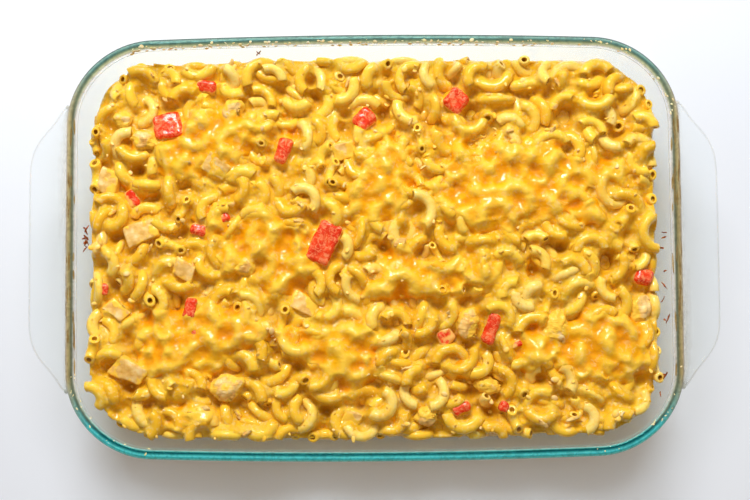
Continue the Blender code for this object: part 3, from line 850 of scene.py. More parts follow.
def lay_specks(name, rows, material, dent_mm):
    """One plain mesh of all the specks of a list, each a flattened, uneven ball."""
    bm = bmesh.new()
    bmesh.ops.create_icosphere(bm, subdivisions=2, radius=0.5)
    ball = bpy.data.meshes.new("ball")
    bm.to_mesh(ball)
    bm.free()
    rows = np.array(rows)
    layers = {"place": rows[:, PLACE], "turn": rows[:, TURN], "size": rows[:, 6:9]}
    item = lay_pieces(name, layers, placed("ball", ball), material, False, SPECK_LUMP_SCALE, dent_mm)
    dress(item, "macaroni")
    return item


def make_residue():
    """Cream and oil that splashed on the rim, and flakes burnt on to the wall.

    Shares of the way round: north side 0.07 to 0.30, west 0.37 to 0.50, south 0.57 to 0.80, east 0.87 to 1.
    """
    rng = np.random.default_rng(31)
    cream = rim_specks(rng, 150, 0.088, 0.315, (95, 165), (0.7, 2.8), flat=0.3, spin_by=0.3)
    for count, start, end, turns, sizes in (
        (30, 0.0, 0.075, (70, 160), (0.7, 2.2)),
        (20, 0.50, 0.57, (70, 160), (0.7, 2.0)),
        (16, 0.80, 0.87, (60, 150), (0.6, 1.8)),
    ):
        cream += rim_specks(rng, count, start, end, turns, sizes, flat=0.3, spin_by=0.6)
    lay_specks("dried_cream_specks", cream, dried_cream(), 0.5)
    oil = []
    for start, end in ((0.868, 1.0), (0.368, 0.5)):
        oil += rim_specks(rng, 30, start, end, (20, 150), (4, 12), flat=0.18, spin_by=0.03)
    widest = 1.1 * MM
    oil = [(*row[:7], min(row[7], widest), row[8]) for row in oil]
    lay_specks("baked_oil_streaks", oil, baked_oil(), 0.2)
    places = (0.424, 40, 15), (0.935, 42, 3), (0.915, 42, 2), (0.895, 42, 3), (0.857, 42, 3), (0.249, 43, 2)
    lay_specks("burnt_flakes", wall_specks(rng, places, (3.0, 8.5)), burnt_crumb(), 2.0)


# Height map of the food

def cell_places():
    """Middle x and y of every cell of the height map."""
    xs = (np.arange(COLUMNS) + 0.5) * CELL - HALF_LENGTH
    ys = (np.arange(ROWS) + 0.5) * CELL - HALF_WIDTH
    return np.meshgrid(xs, ys, indexing="ij")


def cells_of(x, y):
    """Indices of the cells that hold the places."""
    i = np.clip(((x + HALF_LENGTH) / CELL).astype(int), 0, COLUMNS - 1)
    j = np.clip(((y + HALF_WIDTH) / CELL).astype(int), 0, ROWS - 1)
    return i, j


def slid(field, reach, axis):
    """The field slid along an axis by each number of cells up to a reach either way, holding its edges."""
    padded = np.pad(field, [(reach, reach) if a == axis else (0, 0) for a in (0, 1)], mode="edge")
    length = field.shape[axis]
    for k in range(2 * reach + 1):
        yield k - reach, padded.take(range(k, k + length), axis)


def blurred(field, size):
    """Field smoothed over a distance in metres, holding its edges."""
    sigma = size / CELL
    reach = int(math.ceil(2.5 * sigma))
    weights = np.exp(-0.5 * (np.arange(-reach, reach + 1) / sigma) ** 2)
    weights /= weights.sum()
    for axis in (0, 1):
        field = sum(weight * part for weight, (_, part) in zip(weights, slid(field, reach, axis)))
    return field


def spread(field, radius, pick):
    """Highest (np.maximum) or lowest (np.minimum) value of a field within a radius of each cell."""
    reach = int(round(radius / CELL))
    padded = np.pad(field, reach, mode="edge")
    result = field.copy()
    for i in range(-reach, reach + 1):
        for j in range(-reach, reach + 1):
            if i * i + j * j <= reach * reach:
                part = padded[reach + i:reach + i + COLUMNS, reach + j:reach + j + ROWS]
                result = pick(result, part)
    return result


def rolled(field, radius, deepest, pick):
    """Field swept by a bowl whose tip curves with a radius: grown by np.maximum, shrunk by np.minimum."""
    reach = int(math.ceil(math.sqrt(2 * radius * deepest) / CELL))
    sign = -1 if pick is np.maximum else 1
    for axis in (0, 1):
        result = field
        for k, part in slid(field, reach, axis):
            result = pick(result, part + sign * (k * CELL) ** 2 / (2 * radius))
        field = result
    return field


def filled_gaps(field, radius):
    """Height map with its gaps filled like a thick sauce, whose surface curves no tighter than a radius."""
    deepest = 12 * MM
    return rolled(rolled(field, radius, deepest, np.maximum), radius, deepest, np.minimum)


def node_tops(names):
    """Height of the packed model's nodes over each cell, or nan where they have none."""
    tops = np.full((COLUMNS, ROWS), np.nan)
    for name in names:
        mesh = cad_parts[name].data
        faces = [tuple(face.vertices) for face in mesh.polygons]
        tree = BVHTree.FromPolygons([point.co for point in mesh.vertices], faces)
        low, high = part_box(name)
        i_low, j_low = cells_of(np.array(low.x), np.array(low.y))
        i_high, j_high = cells_of(np.array(high.x), np.array(high.y))
        for i in range(i_low, i_high + 1):
            for j in range(j_low, j_high + 1):
                x, y = (i + 0.5) * CELL - HALF_LENGTH, (j + 0.5) * CELL - HALF_WIDTH
                hit = tree.ray_cast(Vector((x, y, 1.0)), Vector((0, 0, -1)))[0]
                if hit is not None:
                    tops[i, j] = hit.z if np.isnan(tops[i, j]) else max(tops[i, j], hit.z)
    return tops


def target_surface():
    """Surface that the elbows are heaped up to: the packed food's top, smoothed and a little raised."""
    tops = node_tops(["macaroni_bake"])
    known = ~np.isnan(tops)
    smoothing, raised = 8 * MM, 3.0 * MM
    share = np.maximum(blurred(known.astype(float), smoothing), 1e-6)
    x, y = cell_places()
    edge = np.clip(1 - (plan_inset(x, y) - inner_wall(38 * MM)) / (12 * MM), 0, 1)
    at_end = np.clip((np.abs(x) - 110 * MM) / (40 * MM), 0, 1)
    swell = 2.0 + 2.0 * at_end + 3.2 * soft_noise(5 * MM, seed=21)
    hills = 1.8 * MM * soft_noise(9 * MM, seed=22) + 0.9 * MM * soft_noise(4 * MM, seed=23)
    return blurred(np.where(known, tops, 0.0), smoothing) / share + raised + MM * edge * swell + hills


# Elbow macaroni

# Ways of lying: share of the elbows up to this one, middle tilt along and across, and how far each strays
ELBOW_CLASSES = (
    (0.42, (0, 0), (17, 17)),
    (0.70, (40, 0), (16, 20)),
    (0.84, (76, 0), (16, 25)),
    (0.88, (0, 70), (22, 20)),
    (1.00, (0, -78), (24, 20)),
)


def euler_matrices(turns):
    """Rotation matrices of XYZ turns in radians."""
    cx, cy, cz = np.cos(turns).T
    sx, sy, sz = np.sin(turns).T
    rows = [
        [cy * cz, sx * sy * cz - cx * sz, cx * sy * cz + sx * sz],
        [cy * sz, sx * sy * sz + cx * cz, cx * sy * sz - sx * cz],
        [-sy, sx * cy, cx * cy],
    ]
    return np.moveaxis(np.array(rows), 2, 0)


def elbow_skin(bend, sweep, girth, steps, sides):
    """Points over elbows that lie flat about their own middle, one row of points for each elbow."""
    share = np.repeat(np.linspace(-0.5, 0.5, steps), sides)
    turn = np.tile(2 * math.pi * np.arange(sides) / sides, steps)
    angle = share[None, :] * sweep[:, None]
    reach = bend[:, None] + girth[:, None] * np.cos(turn)[None, :]
    middle = (bend * np.sin(sweep / 2) / (sweep / 2))[:, None]
    lift = girth[:, None] * np.sin(turn)[None, :]
    return np.stack([reach * np.cos(angle) - middle, reach * np.sin(angle), lift], 2)


def draw_elbows(rng, count, radius):
    """Random elbows, all of one way of lying: bends, sweeps, girths and turns."""
    bend = rng.uniform(7.0, 9.8, count) * MM
    sweep = np.radians(rng.uniform(105, 200, count))
    girth = radius * rng.normal(1.0, 0.08, count).clip(0.82, 1.18)
    pick = rng.random()
    _, middle, spread_by = next(row for row in ELBOW_CLASSES if pick <= row[0])
    tilt_x = np.radians(rng.normal(middle[0], spread_by[0], count)) * rng.choice((-1, 1), count)
    tilt_y = np.radians(rng.normal(middle[1], spread_by[1], count))
    turns = np.stack([tilt_x, tilt_y, rng.uniform(0, 2 * math.pi, count)], 1)
    return bend, sweep, girth, turns


@functools.lru_cache(maxsize=None)
def packed_heap():
    """Drop elbows one by one where the heap is lowest, until it stands at the target surface.

    Returns the elbows' rows (x, y, z, turns, bend, sweep, girth), the heap's height map and the target.
    """
    settings = bpy.context.scene.casserole_macaroni
    rng = np.random.default_rng(settings.seed)
    target = target_surface()
    x_map, y_map = cell_places()
    room = plan_inset(x_map, y_map) > inner_wall(37 * MM)
    heights = target - HEAP_DEPTH
    toppings = node_tops(TOPPINGS)
    covered = ~np.isnan(toppings)
    kept_clear = spread(covered.astype(float), 2.6 * MM, np.minimum) > 0.5
    heights = np.where(covered, np.fmax(heights, toppings - 1.0 * MM), heights)
    rows = []
    # The next elbow is one of the lowest of many tried near a block of cells, drawn for the depth it lacks
    block, trials, picked_from = 5, 90, 6
    deepest, even_enough = 5.0 * MM, 0.7 * MM
    wall_gap, most_over, less_interest = 0.15 * MM, 3.0 * MM, 0.45
    wide, deep = COLUMNS // block, ROWS // block
    interest = np.ones((wide, deep))
    while len(rows) < MOST_ELBOWS:
        low = (target - heights - 1.2 * MM) * (room & ~covered)
        low = low[:wide * block, :deep * block].reshape(wide, block, deep, block).mean((1, 3))
        weight = (np.clip(low, 0, deepest) ** 2 * interest).ravel()
        if weight.max() < even_enough ** 2:
            break
        spot = rng.choice(weight.size, p=weight / weight.sum())
        x = (spot // deep + 0.5) * block * CELL - HALF_LENGTH + rng.uniform(-6, 6, trials) * MM
        y = (spot % deep + 0.5) * block * CELL - HALF_WIDTH + rng.uniform(-6, 6, trials) * MM
        bend, sweep, girth, turns = draw_elbows(rng, trials, settings.radius)
        flat = elbow_skin(bend, sweep, girth, steps=11, sides=8)
        skin = np.einsum("kij,knj->kni", euler_matrices(turns), flat)
        skin_x, skin_y = skin[..., 0] + x[:, None], skin[..., 1] + y[:, None]
        i, j = cells_of(skin_x, skin_y)
        z = (heights[i, j] - skin[..., 2]).max(1) - settings.sink
        over = skin[..., 2].max(1) + z - target[cells_of(x, y)]
        clear = plan_inset(skin_x, skin_y) - inner_wall(skin[..., 2] + z[:, None])
        fits = (clear.min(1) > wall_gap) & (over < most_over) & ~kept_clear[i, j].any(1)
        if not fits.any():
            row, column = divmod(spot, deep)
            interest[max(row - 1, 0):row + 2, max(column - 1, 0):column + 2] *= less_interest
            continue
        score = np.where(fits, z + 0.5 * over, np.inf)
        best = int(rng.choice(np.argsort(score)[:min(picked_from, fits.sum())]))
        one = slice(best, best + 1)
        fine = elbow_skin(bend[one], sweep[one], girth[one], steps=50, sides=24)[0]
        fine = fine @ euler_matrices(turns[one])[0].T
        cells = cells_of(fine[:, 0] + x[best], fine[:, 1] + y[best])
        np.maximum.at(heights, cells, fine[:, 2] + z[best])
        rows.append((x[best], y[best], z[best], *turns[best], bend[best], sweep[best], girth[best]))
    rows = np.array(rows)
    return rows[[shows(row, heights) for row in rows]], heights, target


def shows(row, heights):
    """Whether enough of an elbow comes to the top of the heap to be seen."""
    flat = elbow_skin(row[6:7], row[7:8], row[8:9], steps=16, sides=10)[0]
    skin = flat @ euler_matrices(row[None, TURN])[0].T + row[PLACE]
    depth_seen, share_seen = 0.6 * MM, 0.03
    return (skin[:, 2] > heights[cells_of(skin[:, 0], skin[:, 1])] - depth_seen).mean() > share_seen


def wall_elbows():
    """Elbows that lie flat against the glass all the way round, without lying over each other."""
    settings = bpy.context.scene.casserole_macaroni
    rng = np.random.default_rng(settings.seed + 1)
    top, bottom = 34.5 * MM, 8 * MM
    lowest_cell, highest_cell, most_shared = 6, 44, 0.1
    pressed_in, corner_gap = 0.85 * MM, 1.1 * MM
    girdle = wall_frame(0.0, 20 * MM)[2]
    taken = np.zeros((int(girdle / CELL), int(45 * MM / CELL)), bool)
    rows = []
    for _ in range(2600):
        along, z = rng.random(), rng.uniform(bottom, top)
        bend, sweep, girth, _ = draw_elbows(rng, 1, settings.radius)
        spin = rng.uniform(0, 2 * math.pi)
        skin = elbow_skin(bend, sweep, girth, steps=16, sides=8)[0]
        flat_x = skin[:, 0] * math.cos(spin) - skin[:, 1] * math.sin(spin)
        flat_y = skin[:, 0] * math.sin(spin) + skin[:, 1] * math.cos(spin)
        u = ((along * girdle + flat_x) / CELL).astype(int) % taken.shape[0]
        v = ((z + flat_y) / CELL).astype(int)
        if v.min() < lowest_cell or v.max() > highest_cell or taken[u, v].mean() > most_shared:
            continue
        taken[u, v] = True
        point, normal, _ = wall_frame(along, z)
        corner = abs(point.x) > HALF_LENGTH - RIM_CORNER and abs(point.y) > HALF_WIDTH - RIM_CORNER
        stand = girth[0] - pressed_in + (corner_gap if corner else 0.0)
        upright = (Vector((0, 0, 1)) - normal * normal.z).normalized()
        turn = turn_of(normal, upright.cross(normal), spin)
        rows.append((*(point + normal * stand), *turn, bend[0], sweep[0], girth[0]))
    return np.array(rows)


def straight_elbow(settings):
    """A straight tube a unit long, open through, which the node tree bends: walls, rims and bore."""
    bore = settings.bore / settings.radius
    lips = (0.9, bore + 0.1)
    section = [(1.0, t) for t in np.linspace(-0.48, 0.48, 8)] + [(r, 0.5) for r in lips]
    section += [(bore, t) for t in (0.49, 0.2, -0.2, -0.49)] + [(r, -0.5) for r in lips[::-1]]
    turn = 2 * math.pi * np.arange(settings.sides) / settings.sides
    points = [(r * math.cos(a), r * math.sin(a), t) for r, t in section for a in turn]
    item = mesh_object("straight_elbow", points, ring_faces(len(section), settings.sides, loop=True), None)
    turn_outwards(item)
    write_layer(item.data, "bore", [float(r == bore) for r, _ in section for _ in turn])
    return item


def lay_elbows(name, rows, settings, material, dent_mm):
    """One plain mesh of all the elbows of a list, each with a tone and a flatness of its own."""
    rng = np.random.default_rng(settings.seed + 2)
    layers = {"place": rows[:, PLACE], "turn": rows[:, TURN]}
    layers.update(zip(("bend", "sweep", "girth"), rows[:, 6:9].T))
    layers["tone"] = rng.random(len(rows))
    layers["flatness"] = rng.uniform(0.72, 1.0, len(rows))
    return lay_pieces(name, layers, straight_elbow(settings), material, True, ELBOW_LUMP_SCALE, dent_mm)


@functools.lru_cache(maxsize=None)
def even_heap():
    """Height map of the heap, evened out over a few elbows."""
    _, heights, _ = packed_heap()
    return blurred(filled_gaps(heights, 3 * MM), 3.5 * MM)


def mark_place(item, level=None, reach=8 * MM, lift=-0.5 * MM):
    """Give each point how deep it lies under a level and how much cheese is there, both from 0 to 1."""
    x, y, z = points_of(item)
    # This depth drives painted shade on pasta, sauce and cheese and a painted highlight on the cheese's
    # ridges; it also sets where sauce laps over toppings.
    sunk = (sampled(even_heap() if level is None else level, x, y) + lift - z) / reach
    sunk *= np.clip(from_edge(x, y) / (14 * MM), 0.1, 1)
    write_layer(item.data, "sunk", sunk.clip(0, 1))
    write_layer(item.data, "cheesed", sampled(blurred(cheese_cover(), 2 * MM), x, y).clip(0, 1))


def make_macaroni(settings):
    """The elbows heaped on top, in two layers, and those that show through the glass sides."""
    pasta = cooked_pasta()
    rows, _, target = packed_heap()
    i, j = cells_of(rows[:, 0], rows[:, 1])
    depth = target[i, j] - rows[:, 2]
    upper = depth < np.median(depth)
    for name, layer in (("macaroni_on_top", rows[upper]), ("macaroni_under", rows[~upper])):
        heap = lay_elbows(name, layer, settings, pasta, 0.9)
        mark_place(heap)
        dress(heap, "macaroni", "macaroni_bake")
    sides = lay_elbows("macaroni_at_the_glass", wall_elbows(), settings, pasta, 0.3)
    dress(sides, "macaroni", "macaroni_bake")


# Sauce between the elbows

def from_edge(x, y):
    """Distance of places from the glass, taken at the height of the food's edge."""
    return plan_inset(x, y) - inner_wall(FOOD_EDGE)


def sampled(field, x, y):
    """Value of a height map between its cells."""
    u = np.clip((x + HALF_LENGTH) / CELL - 0.5, 0, COLUMNS - 1.001)
    v = np.clip((y + HALF_WIDTH) / CELL - 0.5, 0, ROWS - 1.001)
    i, j = u.astype(int), v.astype(int)
    s, t = u - i, v - j
    low = field[i, j] * (1 - t) + field[i, j + 1] * t
    high = field[i + 1, j] * (1 - t) + field[i + 1, j + 1] * t
    return low * (1 - s) + high * s


def make_sauce(finish):
    """Mass of sauce that fills the dish, well below the elbows' tops: rings up the glass, then inwards."""
    _, _, target = packed_heap()
    under_tops, smoothing = 10 * MM, 0.8 * MM
    level = blurred(target - under_tops, smoothing)
    brim = 28 * MM
    up_glass = fillet(inner_wall, FLOOR, INNER_RADIUS, 5)
    up_glass += [(inner_wall(z), z) for z in np.linspace(FLOOR + INNER_RADIUS, brim, 10)[1:]]
    points = []
    for inset, z in up_glass:
        ring = plan(inset - INTO_GLASS, *RING_STEPS)
        points.append(np.column_stack([ring, np.full(len(ring), z)]))
    first, middle = inner_wall(brim), HALF_WIDTH - LONG_SIDE_BOW
    ring_gap, eased_over, narrowest = 3 * MM, 5 * MM, 0.01 * MM
    for inset in np.append(np.arange(first + 1.0 * MM, middle, ring_gap), middle):
        ring = plan(min(inset, HALF_WIDTH - narrowest), *RING_STEPS)
        height = sampled(level, ring[:, 0], ring[:, 1])
        ease = min((inset - first) / eased_over, 1.0)
        points.append(np.column_stack([ring, brim + (height - brim) * ease]))
    faces = ring_faces(len(points), len(points[0]))
    sauce = mesh_object("cheese_sauce", np.concatenate(points), faces, finish)
    turn_outwards(sauce)
    dress(sauce, "macaroni", "macaroni_bake")


# Melted cheese

def soft_noise(size, seed):
    """Smooth random field over the height map, about from -1 to 1."""
    rng = np.random.default_rng(seed)
    field = blurred(rng.normal(0, 1, (COLUMNS, ROWS)), size)
    return field / (2 * field.std())


def cheese_cover():
    """How thickly melted cheese covers each cell, from 0 to 1, with ragged edges."""
    x, y = cell_places()
    cover = np.full(x.shape, -2.0)
    for middle_x, middle_y, half_x, half_y, turn in CHEESE_POOLS:
        angle = math.radians(turn)
        along = (x - middle_x * MM) * math.cos(angle) + (y - middle_y * MM) * math.sin(angle)
        across = (y - middle_y * MM) * math.cos(angle) - (x - middle_x * MM) * math.sin(angle)
        cover = np.maximum(cover, 1.3 - np.hypot(along / (half_x * MM), across / (half_y * MM)))
    cover = np.maximum(cover, -0.2) + 0.5 * soft_noise(6 * MM, seed=3) + 0.3 * soft_noise(2 * MM, seed=4)
    return np.clip(cover / 0.6, 0, 1)


def grid_cells(cover):
    """Cells with all four corners covered: mask of corners, each cell's corners, and ends of open sides."""
    cells = cover[:-1, :-1] & cover[1:, :-1] & cover[:-1, 1:] & cover[1:, 1:]
    used = np.zeros(cover.shape, bool)
    for di in (0, 1):
        for dj in (0, 1):
            used[di:di + cells.shape[0], dj:dj + cells.shape[1]] |= cells
    index = np.full(cover.shape, -1)
    index[used] = np.arange(used.sum())
    i, j = np.nonzero(cells)
    a, b, c, d = index[i, j], index[i + 1, j], index[i + 1, j + 1], index[i, j + 1]
    padded = np.pad(cells, 1)
    sides = []
    for di, dj, first, second in ((0, -1, a, b), (1, 0, b, c), (0, 1, c, d), (-1, 0, d, a)):
        is_open = ~padded[i + 1 + di, j + 1 + dj]
        sides.append(np.stack([first[is_open], second[is_open]], 1))
    return used, np.stack([a, b, c, d], 1), np.concatenate(sides)


def grid_skin(top, bottom, cover):
    """Closed skin of a sheet over the cells that it covers: points and faces."""
    used, quads, sides = grid_cells(cover)
    x, y = cell_places()
    points = np.concatenate([np.column_stack([x[used], y[used], z[used]]) for z in (top, bottom)])
    count = int(used.sum())
    p, q = sides.T
    walls = np.stack([q, p, p + count, q + count], 1)
    return points, np.concatenate([quads, quads[:, ::-1] + count, walls])


def shred_relief(count, seed):
    """Height map of cheese shreds that have half melted into the sheet, from 0 to about 1."""
    rng = np.random.default_rng(seed)
    marks = np.zeros((COLUMNS, ROWS))
    step = 0.4 * MM
    for _ in range(count):
        x = rng.uniform(-HALF_LENGTH, HALF_LENGTH)
        y = rng.uniform(-HALF_WIDTH, HALF_WIDTH)
        heading = rng.uniform(0, 2 * math.pi)
        curl = rng.normal(0, 60)
        headings = heading + curl * np.arange(0, rng.uniform(7, 18) * MM, step)
        along_x, along_y = np.cumsum(np.cos(headings)) * step, np.cumsum(np.sin(headings)) * step
        marks[cells_of(x + along_x, y + along_y)] = 1
    return np.clip(blurred(marks, 0.9 * MM) / 0.33, 0, 1.3)


def wall_height(inset):
    """Height at which the wall's inner face stands at an inset."""
    return DISH_HEIGHT - (inset - WALL_SET_BACK - WALL / math.cos(WALL_LEAN)) / math.tan(WALL_LEAN)


def moved_to_inset(x, y, inset):
    """Places moved straight in or out until they lie at an inset."""
    step = 0.1 * MM
    here = plan_inset(x, y)
    slope_x = (plan_inset(x + step, y) - plan_inset(x - step, y)) / (2 * step)
    slope_y = (plan_inset(x, y + step) - plan_inset(x, y - step)) / (2 * step)
    steep = np.maximum(slope_x ** 2 + slope_y ** 2, 0.25)
    return x + slope_x * (inset - here) / steep, y + slope_y * (inset - here) / steep


def sauce_skin(heights, edge, bottom):
    """Closed body of sauce under a height map: top, film up the glass to an edge, and flat bottom."""
    x, y = cell_places()
    inset = plan_inset(x, y)
    used, quads, sides = grid_cells(inset > inner_wall(edge) - INTO_GLASS)
    top = np.maximum(heights, wall_height(inset) + 1.2 * MM)
    points = np.column_stack([x[used], y[used], top[used]])
    rim = np.unique(sides)
    rim_z = edge[used][rim]
    rim_x, rim_y = moved_to_inset(*points[rim, :2].T, inner_wall(rim_z) - INTO_GLASS)
    points[rim] = np.column_stack([rim_x, rim_y, rim_z])
    foot_x, foot_y = moved_to_inset(rim_x, rim_y, inner_wall(bottom) - INTO_GLASS)
    foot = np.column_stack([foot_x, foot_y, np.full(len(rim), bottom)])
    foot_of = np.full(len(points), -1)
    foot_of[rim] = len(points) + np.arange(len(rim))
    middle = len(points) + len(rim)
    points = np.concatenate([points, foot, [(0, 0, bottom)]])
    p, q = sides.T
    faces = quads.tolist()
    faces += np.stack([q, p, foot_of[p], foot_of[q]], 1).tolist()
    faces += np.stack([foot_of[q], foot_of[p], np.full(len(p), middle)], 1).tolist()
    return points, faces


def make_cream(finish):
    """Curdled sauce that joins the elbows: it fills their gaps and runs a little way up the glass."""
    _, heights, target = packed_heap()
    x, y = cell_places()
    cover = blurred(cheese_cover(), 2 * MM)
    drained = np.clip(0.5 + 0.8 * soft_noise(5 * MM, seed=14), 0, 1)
    # Between bare elbows it has sunk in and its surface curves tightly, and under melted cheese less so
    thin = filled_gaps(heights, 1.4 * MM) - (0.8 + 2.6 * drained) * MM
    thick = filled_gaps(heights, 2.4 * MM) - 0.9 * MM
    sauce = thin * (1 - cover) + thick * cover
    # Beside the glass it stands up to a brim
    beside = np.clip(1.3 - from_edge(x, y) / (6 * MM), 0, 1)
    brim = target - (3.0 + 3.0 * drained) * MM
    sauce = np.maximum(sauce, sauce + (brim - sauce) * beside)
    sauce += 0.4 * MM * soft_noise(0.9 * MM, seed=8) + 0.5 * MM * soft_noise(2.5 * MM, seed=9)
    lowest_edge, bottom = 27.5 * MM, 26 * MM
    edge = np.maximum(30.5 * MM + 3.0 * MM * soft_noise(5 * MM, seed=10), lowest_edge)
    points, faces = sauce_skin(sauce, edge, bottom)
    item = mesh_object("cream_between_elbows", points, faces, finish)
    mark_place(item)
    dress(item, "macaroni", "macaroni_bake")


def scattered(rng, count, size, spread_of_size, narrow, flat, tilt):
    """Rows of bits on the heap: size in mm, how far it strays, how narrow and flat, tilt in degrees."""
    _, heights, _ = packed_heap()
    toppings = ~np.isnan(node_tops(TOPPINGS))
    toppings = spread(toppings.astype(float), 1 * MM, np.maximum) > 0.5
    rows = []
    while len(rows) < count:
        x = rng.uniform(-HALF_LENGTH, HALF_LENGTH)
        y = rng.uniform(-HALF_WIDTH, HALF_WIDTH)
        i, j = cells_of(np.array(x), np.array(y))
        z = heights[i, j]
        if toppings[i, j] or plan_inset(x, y) < inner_wall(z) + 3 * MM:
            continue
        long = size * float(np.clip(rng.lognormal(0, spread_of_size), 0.4, 2.4)) * MM
        turn = np.radians((rng.normal(0, tilt), rng.normal(0, tilt), rng.uniform(0, 360)))
        wide, thick = long * rng.uniform(*narrow), long * rng.uniform(*flat)
        rows.append((x, y, z - 0.2 * thick, *turn, long, wide, thick))
    return rows


def make_crumbs():
    """Crumbs of cheese and set cream over everything, and shreds of chicken among them."""
    rng = np.random.default_rng(17)
    crumbs = scattered(rng, 420, 2.4, 0.4, narrow=(0.5, 0.9), flat=(0.25, 0.4), tilt=20)
    mark_place(lay_specks("cheese_crumbs", crumbs, set_curd(), 0.6))
    shreds = scattered(rng, 70, 5.0, 0.3, narrow=(0.2, 0.5), flat=(0.12, 0.25), tilt=15)
    mark_place(lay_specks("chicken_shreds", shreds, cooked_chicken(), 2.2))


def make_cheese(settings):
    """A sheet of melted cheese that dips between the elbows under it, with their tops coming through it."""
    _, heights, _ = packed_heap()
    x, y = cell_places()
    cover = cheese_cover() * (plan_inset(x, y) > inner_wall(FOOD_EDGE) + 3 * MM)
    # Where cheese lies all round it has pooled and spans wider gaps. Elsewhere it drapes closely
    pooled = np.clip(blurred(cover, 4 * MM) * 1.8 - 0.8 + 0.6 * soft_noise(6 * MM, seed=15), 0, 1)
    draped_radius, pooled_radius = 1.6 * MM, 4.5 * MM
    sheet = filled_gaps(heights, draped_radius) * (1 - pooled)
    sheet += filled_gaps(heights, pooled_radius) * pooled
    sheet += settings.film * (2.8 * pooled - 1.0) + 0.8 * MM * soft_noise(3 * MM, seed=16)
    sheet += 0.35 * MM * shred_relief(900, seed=12) + 0.2 * MM * soft_noise(1.0 * MM, seed=13)
    # It sinks out of sight where its cover thins out
    sheet -= (1 - cover) ** 1.5 * 3.6 * MM
    shown = cover > 0.02
    shown &= spread(shown.astype(float), 0.9 * MM, np.minimum) > 0.5
    thickness = 1.6 * MM
    points, faces = grid_skin(sheet, sheet - thickness, shown)
    cheese = mesh_object("melted_cheese", points, faces, melted_cheese())
    # The cheese's painted highlight and painted shade follow its ridges and hollows against this blurred
    # level.
    mark_place(cheese, blurred(sheet, 3 * MM), reach=3 * MM, lift=0.9 * MM)
    dress(cheese, "macaroni", "macaroni_bake")


# Toppings

def make_toppings(nodes, material, slot, label, rounding, lumps_mm, depth_mm):
    """One detailed piece for each packed node of a kind: its solid, with round edges and uneven faces."""
    for number, node in enumerate(nodes, 1):
        bm = bmesh.new()
        bm.from_mesh(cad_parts[node].data)
        bmesh.ops.remove_doubles(bm, verts=bm.verts, dist=0.01 * MM)
        name = f"{label}_{number:02d}"
        mesh = bpy.data.meshes.new(name)
        bm.to_mesh(mesh)
        bm.free()
        mesh.materials.append(material)
        item = placed(name, mesh)
        even = item.modifiers.new("even faces", "REMESH")
        even.mode = "VOXEL"
        even.voxel_size = 0.55 * MM
        soft = item.modifiers.new("round edges", "SMOOTH")
        soft.factor = 0.5
        soft.iterations = rounding
        finished_mesh(item)
        offset = Vector((number * 3.1, number * 1.7, number * 0.9))
        for vert in item.data.vertices:
            place = vert.co / (lumps_mm * MM) + offset
            push = field.noise(place) + 0.5 * field.noise(place * 2.5)
            vert.co += vert.normal * push * depth_mm * MM
        item.data.shade_smooth()
        mark_place(item, reach=5 * MM, lift=2.5 * MM)
        dress(item, slot, node)


# Floor, light and camera

def make_studio(settings):
    """Pale floor, a large window-like light beyond the dish, light from all round, and the camera."""
    corners = [(x * FLOOR_REACH, y * FLOOR_REACH, 0) for x, y in ((-1, -1), (1, -1), (1, 1), (-1, 1))]
    floor = mesh_object("floor", corners, [(0, 1, 2, 3)], pale_floor())
    lamp = bpy.data.lights.new("window", "AREA")
    lamp.shape = "RECTANGLE"
    lamp.size, lamp.size_y = 0.6, 0.3
    lamp.energy = settings.key_power
    lamp.color = (0.95, 0.975, 1.0)
    window = placed("window", lamp)
    window.location = (-0.08, 0.85, 0.85)
    aim = Vector((0, 0.02, 0.03)) - window.location
    window.rotation_euler = aim.to_track_quat("-Z", "Y").to_euler()

    world = bpy.data.worlds.new("soft studio")
    world.use_nodes = True
    tree = world.node_tree
    background = tree.nodes["Background"]
    background.inputs["Strength"].default_value = settings.sky
    axes = axes_of(tree, add(tree, "ShaderNodeTexCoord").outputs["Generated"])
    shade = ramp(tree, axes["Z"], (0.0, "BCAE9E"), (0.12, "CABAA8"), (0.45, "EADCCC"), (0.8, "FFF2E2"))
    near_side = rising(tree, axes["Y"], 0.1, -0.9)
    shade = blend(tree, near_side, shade, blend(tree, 1.0, shade, "D6BCA0", "MULTIPLY"))
    tree.links.new(shade, background.inputs["Color"])
    bpy.context.scene.world = world

    camera = placed("camera", bpy.data.cameras.new("camera"))
    camera.data.lens = 50.0
    camera.data.sensor_width = 36.0
    look_at = Vector((0.4 * MM, -2.3 * MM, DISH_HEIGHT))
    tilt = settings.camera_tilt
    camera.location = look_at + Vector((0, -math.sin(tilt), math.cos(tilt))) * settings.camera_distance
    camera.rotation_euler = Euler((tilt, 0, settings.camera_roll))
    bpy.context.scene.camera = camera
    bpy.context.scene.view_settings.view_transform = "Standard"


# Operators

class CASSEROLE_OT_glass_dish(bpy.types.Operator):
    """Make the clear glass dish with its two flat handles"""
    bl_idname = "casserole.glass_dish"
    bl_label = "Glass Dish"

    def execute(self, context):
        make_glass_dish(context.scene.casserole_dish)
        return {"FINISHED"}


class CASSEROLE_OT_residue(bpy.types.Operator):
    """Make what has splashed and baked on to the glass"""
    bl_idname = "casserole.residue"
    bl_label = "Baked-on Residue"

    def execute(self, context):
        make_residue()
        return {"FINISHED"}


class CASSEROLE_OT_macaroni(bpy.types.Operator):
    """Heap up the elbow macaroni"""
    bl_idname = "casserole.macaroni"
    bl_label = "Macaroni"

    def execute(self, context):
        make_macaroni(context.scene.casserole_macaroni)
        return {"FINISHED"}


class CASSEROLE_OT_sauce(bpy.types.Operator):
    """Fill the dish with sauce between the elbows"""
    bl_idname = "casserole.sauce"
    bl_label = "Sauce"

    def execute(self, context):
        finish = cheese_sauce()
        make_sauce(finish)
        make_cream(finish)
        make_crumbs()
        return {"FINISHED"}


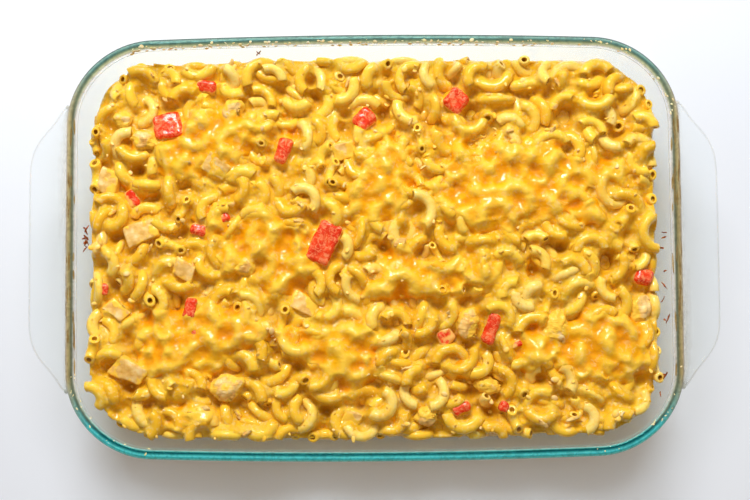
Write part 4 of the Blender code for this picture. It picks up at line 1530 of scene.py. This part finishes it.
class CASSEROLE_OT_cheese(bpy.types.Operator):
    """Melt cheese over parts of the macaroni"""
    bl_idname = "casserole.cheese"
    bl_label = "Melted Cheese"

    def execute(self, context):
        make_cheese(context.scene.casserole_cheese)
        return {"FINISHED"}


class CASSEROLE_OT_tomatoes(bpy.types.Operator):
    """Make the diced tomatoes"""
    bl_idname = "casserole.tomatoes"
    bl_label = "Tomatoes"

    def execute(self, context):
        make_toppings(TOMATOES, baked_tomato(), "tomato", "tomato_dice",
                      rounding=5, lumps_mm=7, depth_mm=0.7)
        return {"FINISHED"}


class CASSEROLE_OT_onions(bpy.types.Operator):
    """Make the cuts of onion"""
    bl_idname = "casserole.onions"
    bl_label = "Onions"

    def execute(self, context):
        make_toppings(ONIONS, soft_onion(), "onion", "onion_cut",
                      rounding=12, lumps_mm=9, depth_mm=0.9)
        return {"FINISHED"}


class CASSEROLE_OT_chicken(bpy.types.Operator):
    """Make the torn chunks of chicken"""
    bl_idname = "casserole.chicken"
    bl_label = "Chicken"

    def execute(self, context):
        make_toppings(CHICKENS, cooked_chicken(), "chicken", "chicken_chunk",
                      rounding=4, lumps_mm=6, depth_mm=1.4)
        return {"FINISHED"}


class CASSEROLE_OT_studio(bpy.types.Operator):
    """Set up the floor, the light and the camera"""
    bl_idname = "casserole.studio"
    bl_label = "Studio"

    def execute(self, context):
        make_studio(context.scene.casserole_studio)
        return {"FINISHED"}


OPERATORS = (
    CASSEROLE_OT_studio,
    CASSEROLE_OT_glass_dish,
    CASSEROLE_OT_macaroni,
    CASSEROLE_OT_sauce,
    CASSEROLE_OT_cheese,
    CASSEROLE_OT_tomatoes,
    CASSEROLE_OT_onions,
    CASSEROLE_OT_chicken,
    CASSEROLE_OT_residue,
)

SETTINGS = {
    "casserole_dish": DishSettings,
    "casserole_macaroni": MacaroniSettings,
    "casserole_cheese": CheeseSettings,
    "casserole_studio": StudioSettings,
}


class CASSEROLE_PT_panel(bpy.types.Panel):
    """Casserole pieces and their settings"""
    bl_label = "Casserole"
    bl_idname = "CASSEROLE_PT_panel"
    bl_space_type = "VIEW_3D"
    bl_region_type = "UI"
    bl_category = "Casserole"

    def draw(self, context):
        for name, group in SETTINGS.items():
            box = self.layout.box()
            box.label(text=group.__doc__)
            for field in group.__annotations__:
                box.prop(getattr(context.scene, name), field)
        for operator in OPERATORS:
            self.layout.operator(operator.bl_idname)


def register():
    for kind in (*SETTINGS.values(), *OPERATORS, CASSEROLE_PT_panel):
        bpy.utils.register_class(kind)
    for name, group in SETTINGS.items():
        setattr(bpy.types.Scene, name, bpy.props.PointerProperty(type=group))


def unregister():
    for name in SETTINGS:
        delattr(bpy.types.Scene, name)
    for kind in (CASSEROLE_PT_panel, *OPERATORS, *SETTINGS.values()):
        bpy.utils.unregister_class(kind)


def main():
    """Make every piece in order."""
    register()
    for operator in OPERATORS:
        group, name = operator.bl_idname.split(".")
        getattr(getattr(bpy.ops, group), name)()


if __name__ == "__main__":
    main()
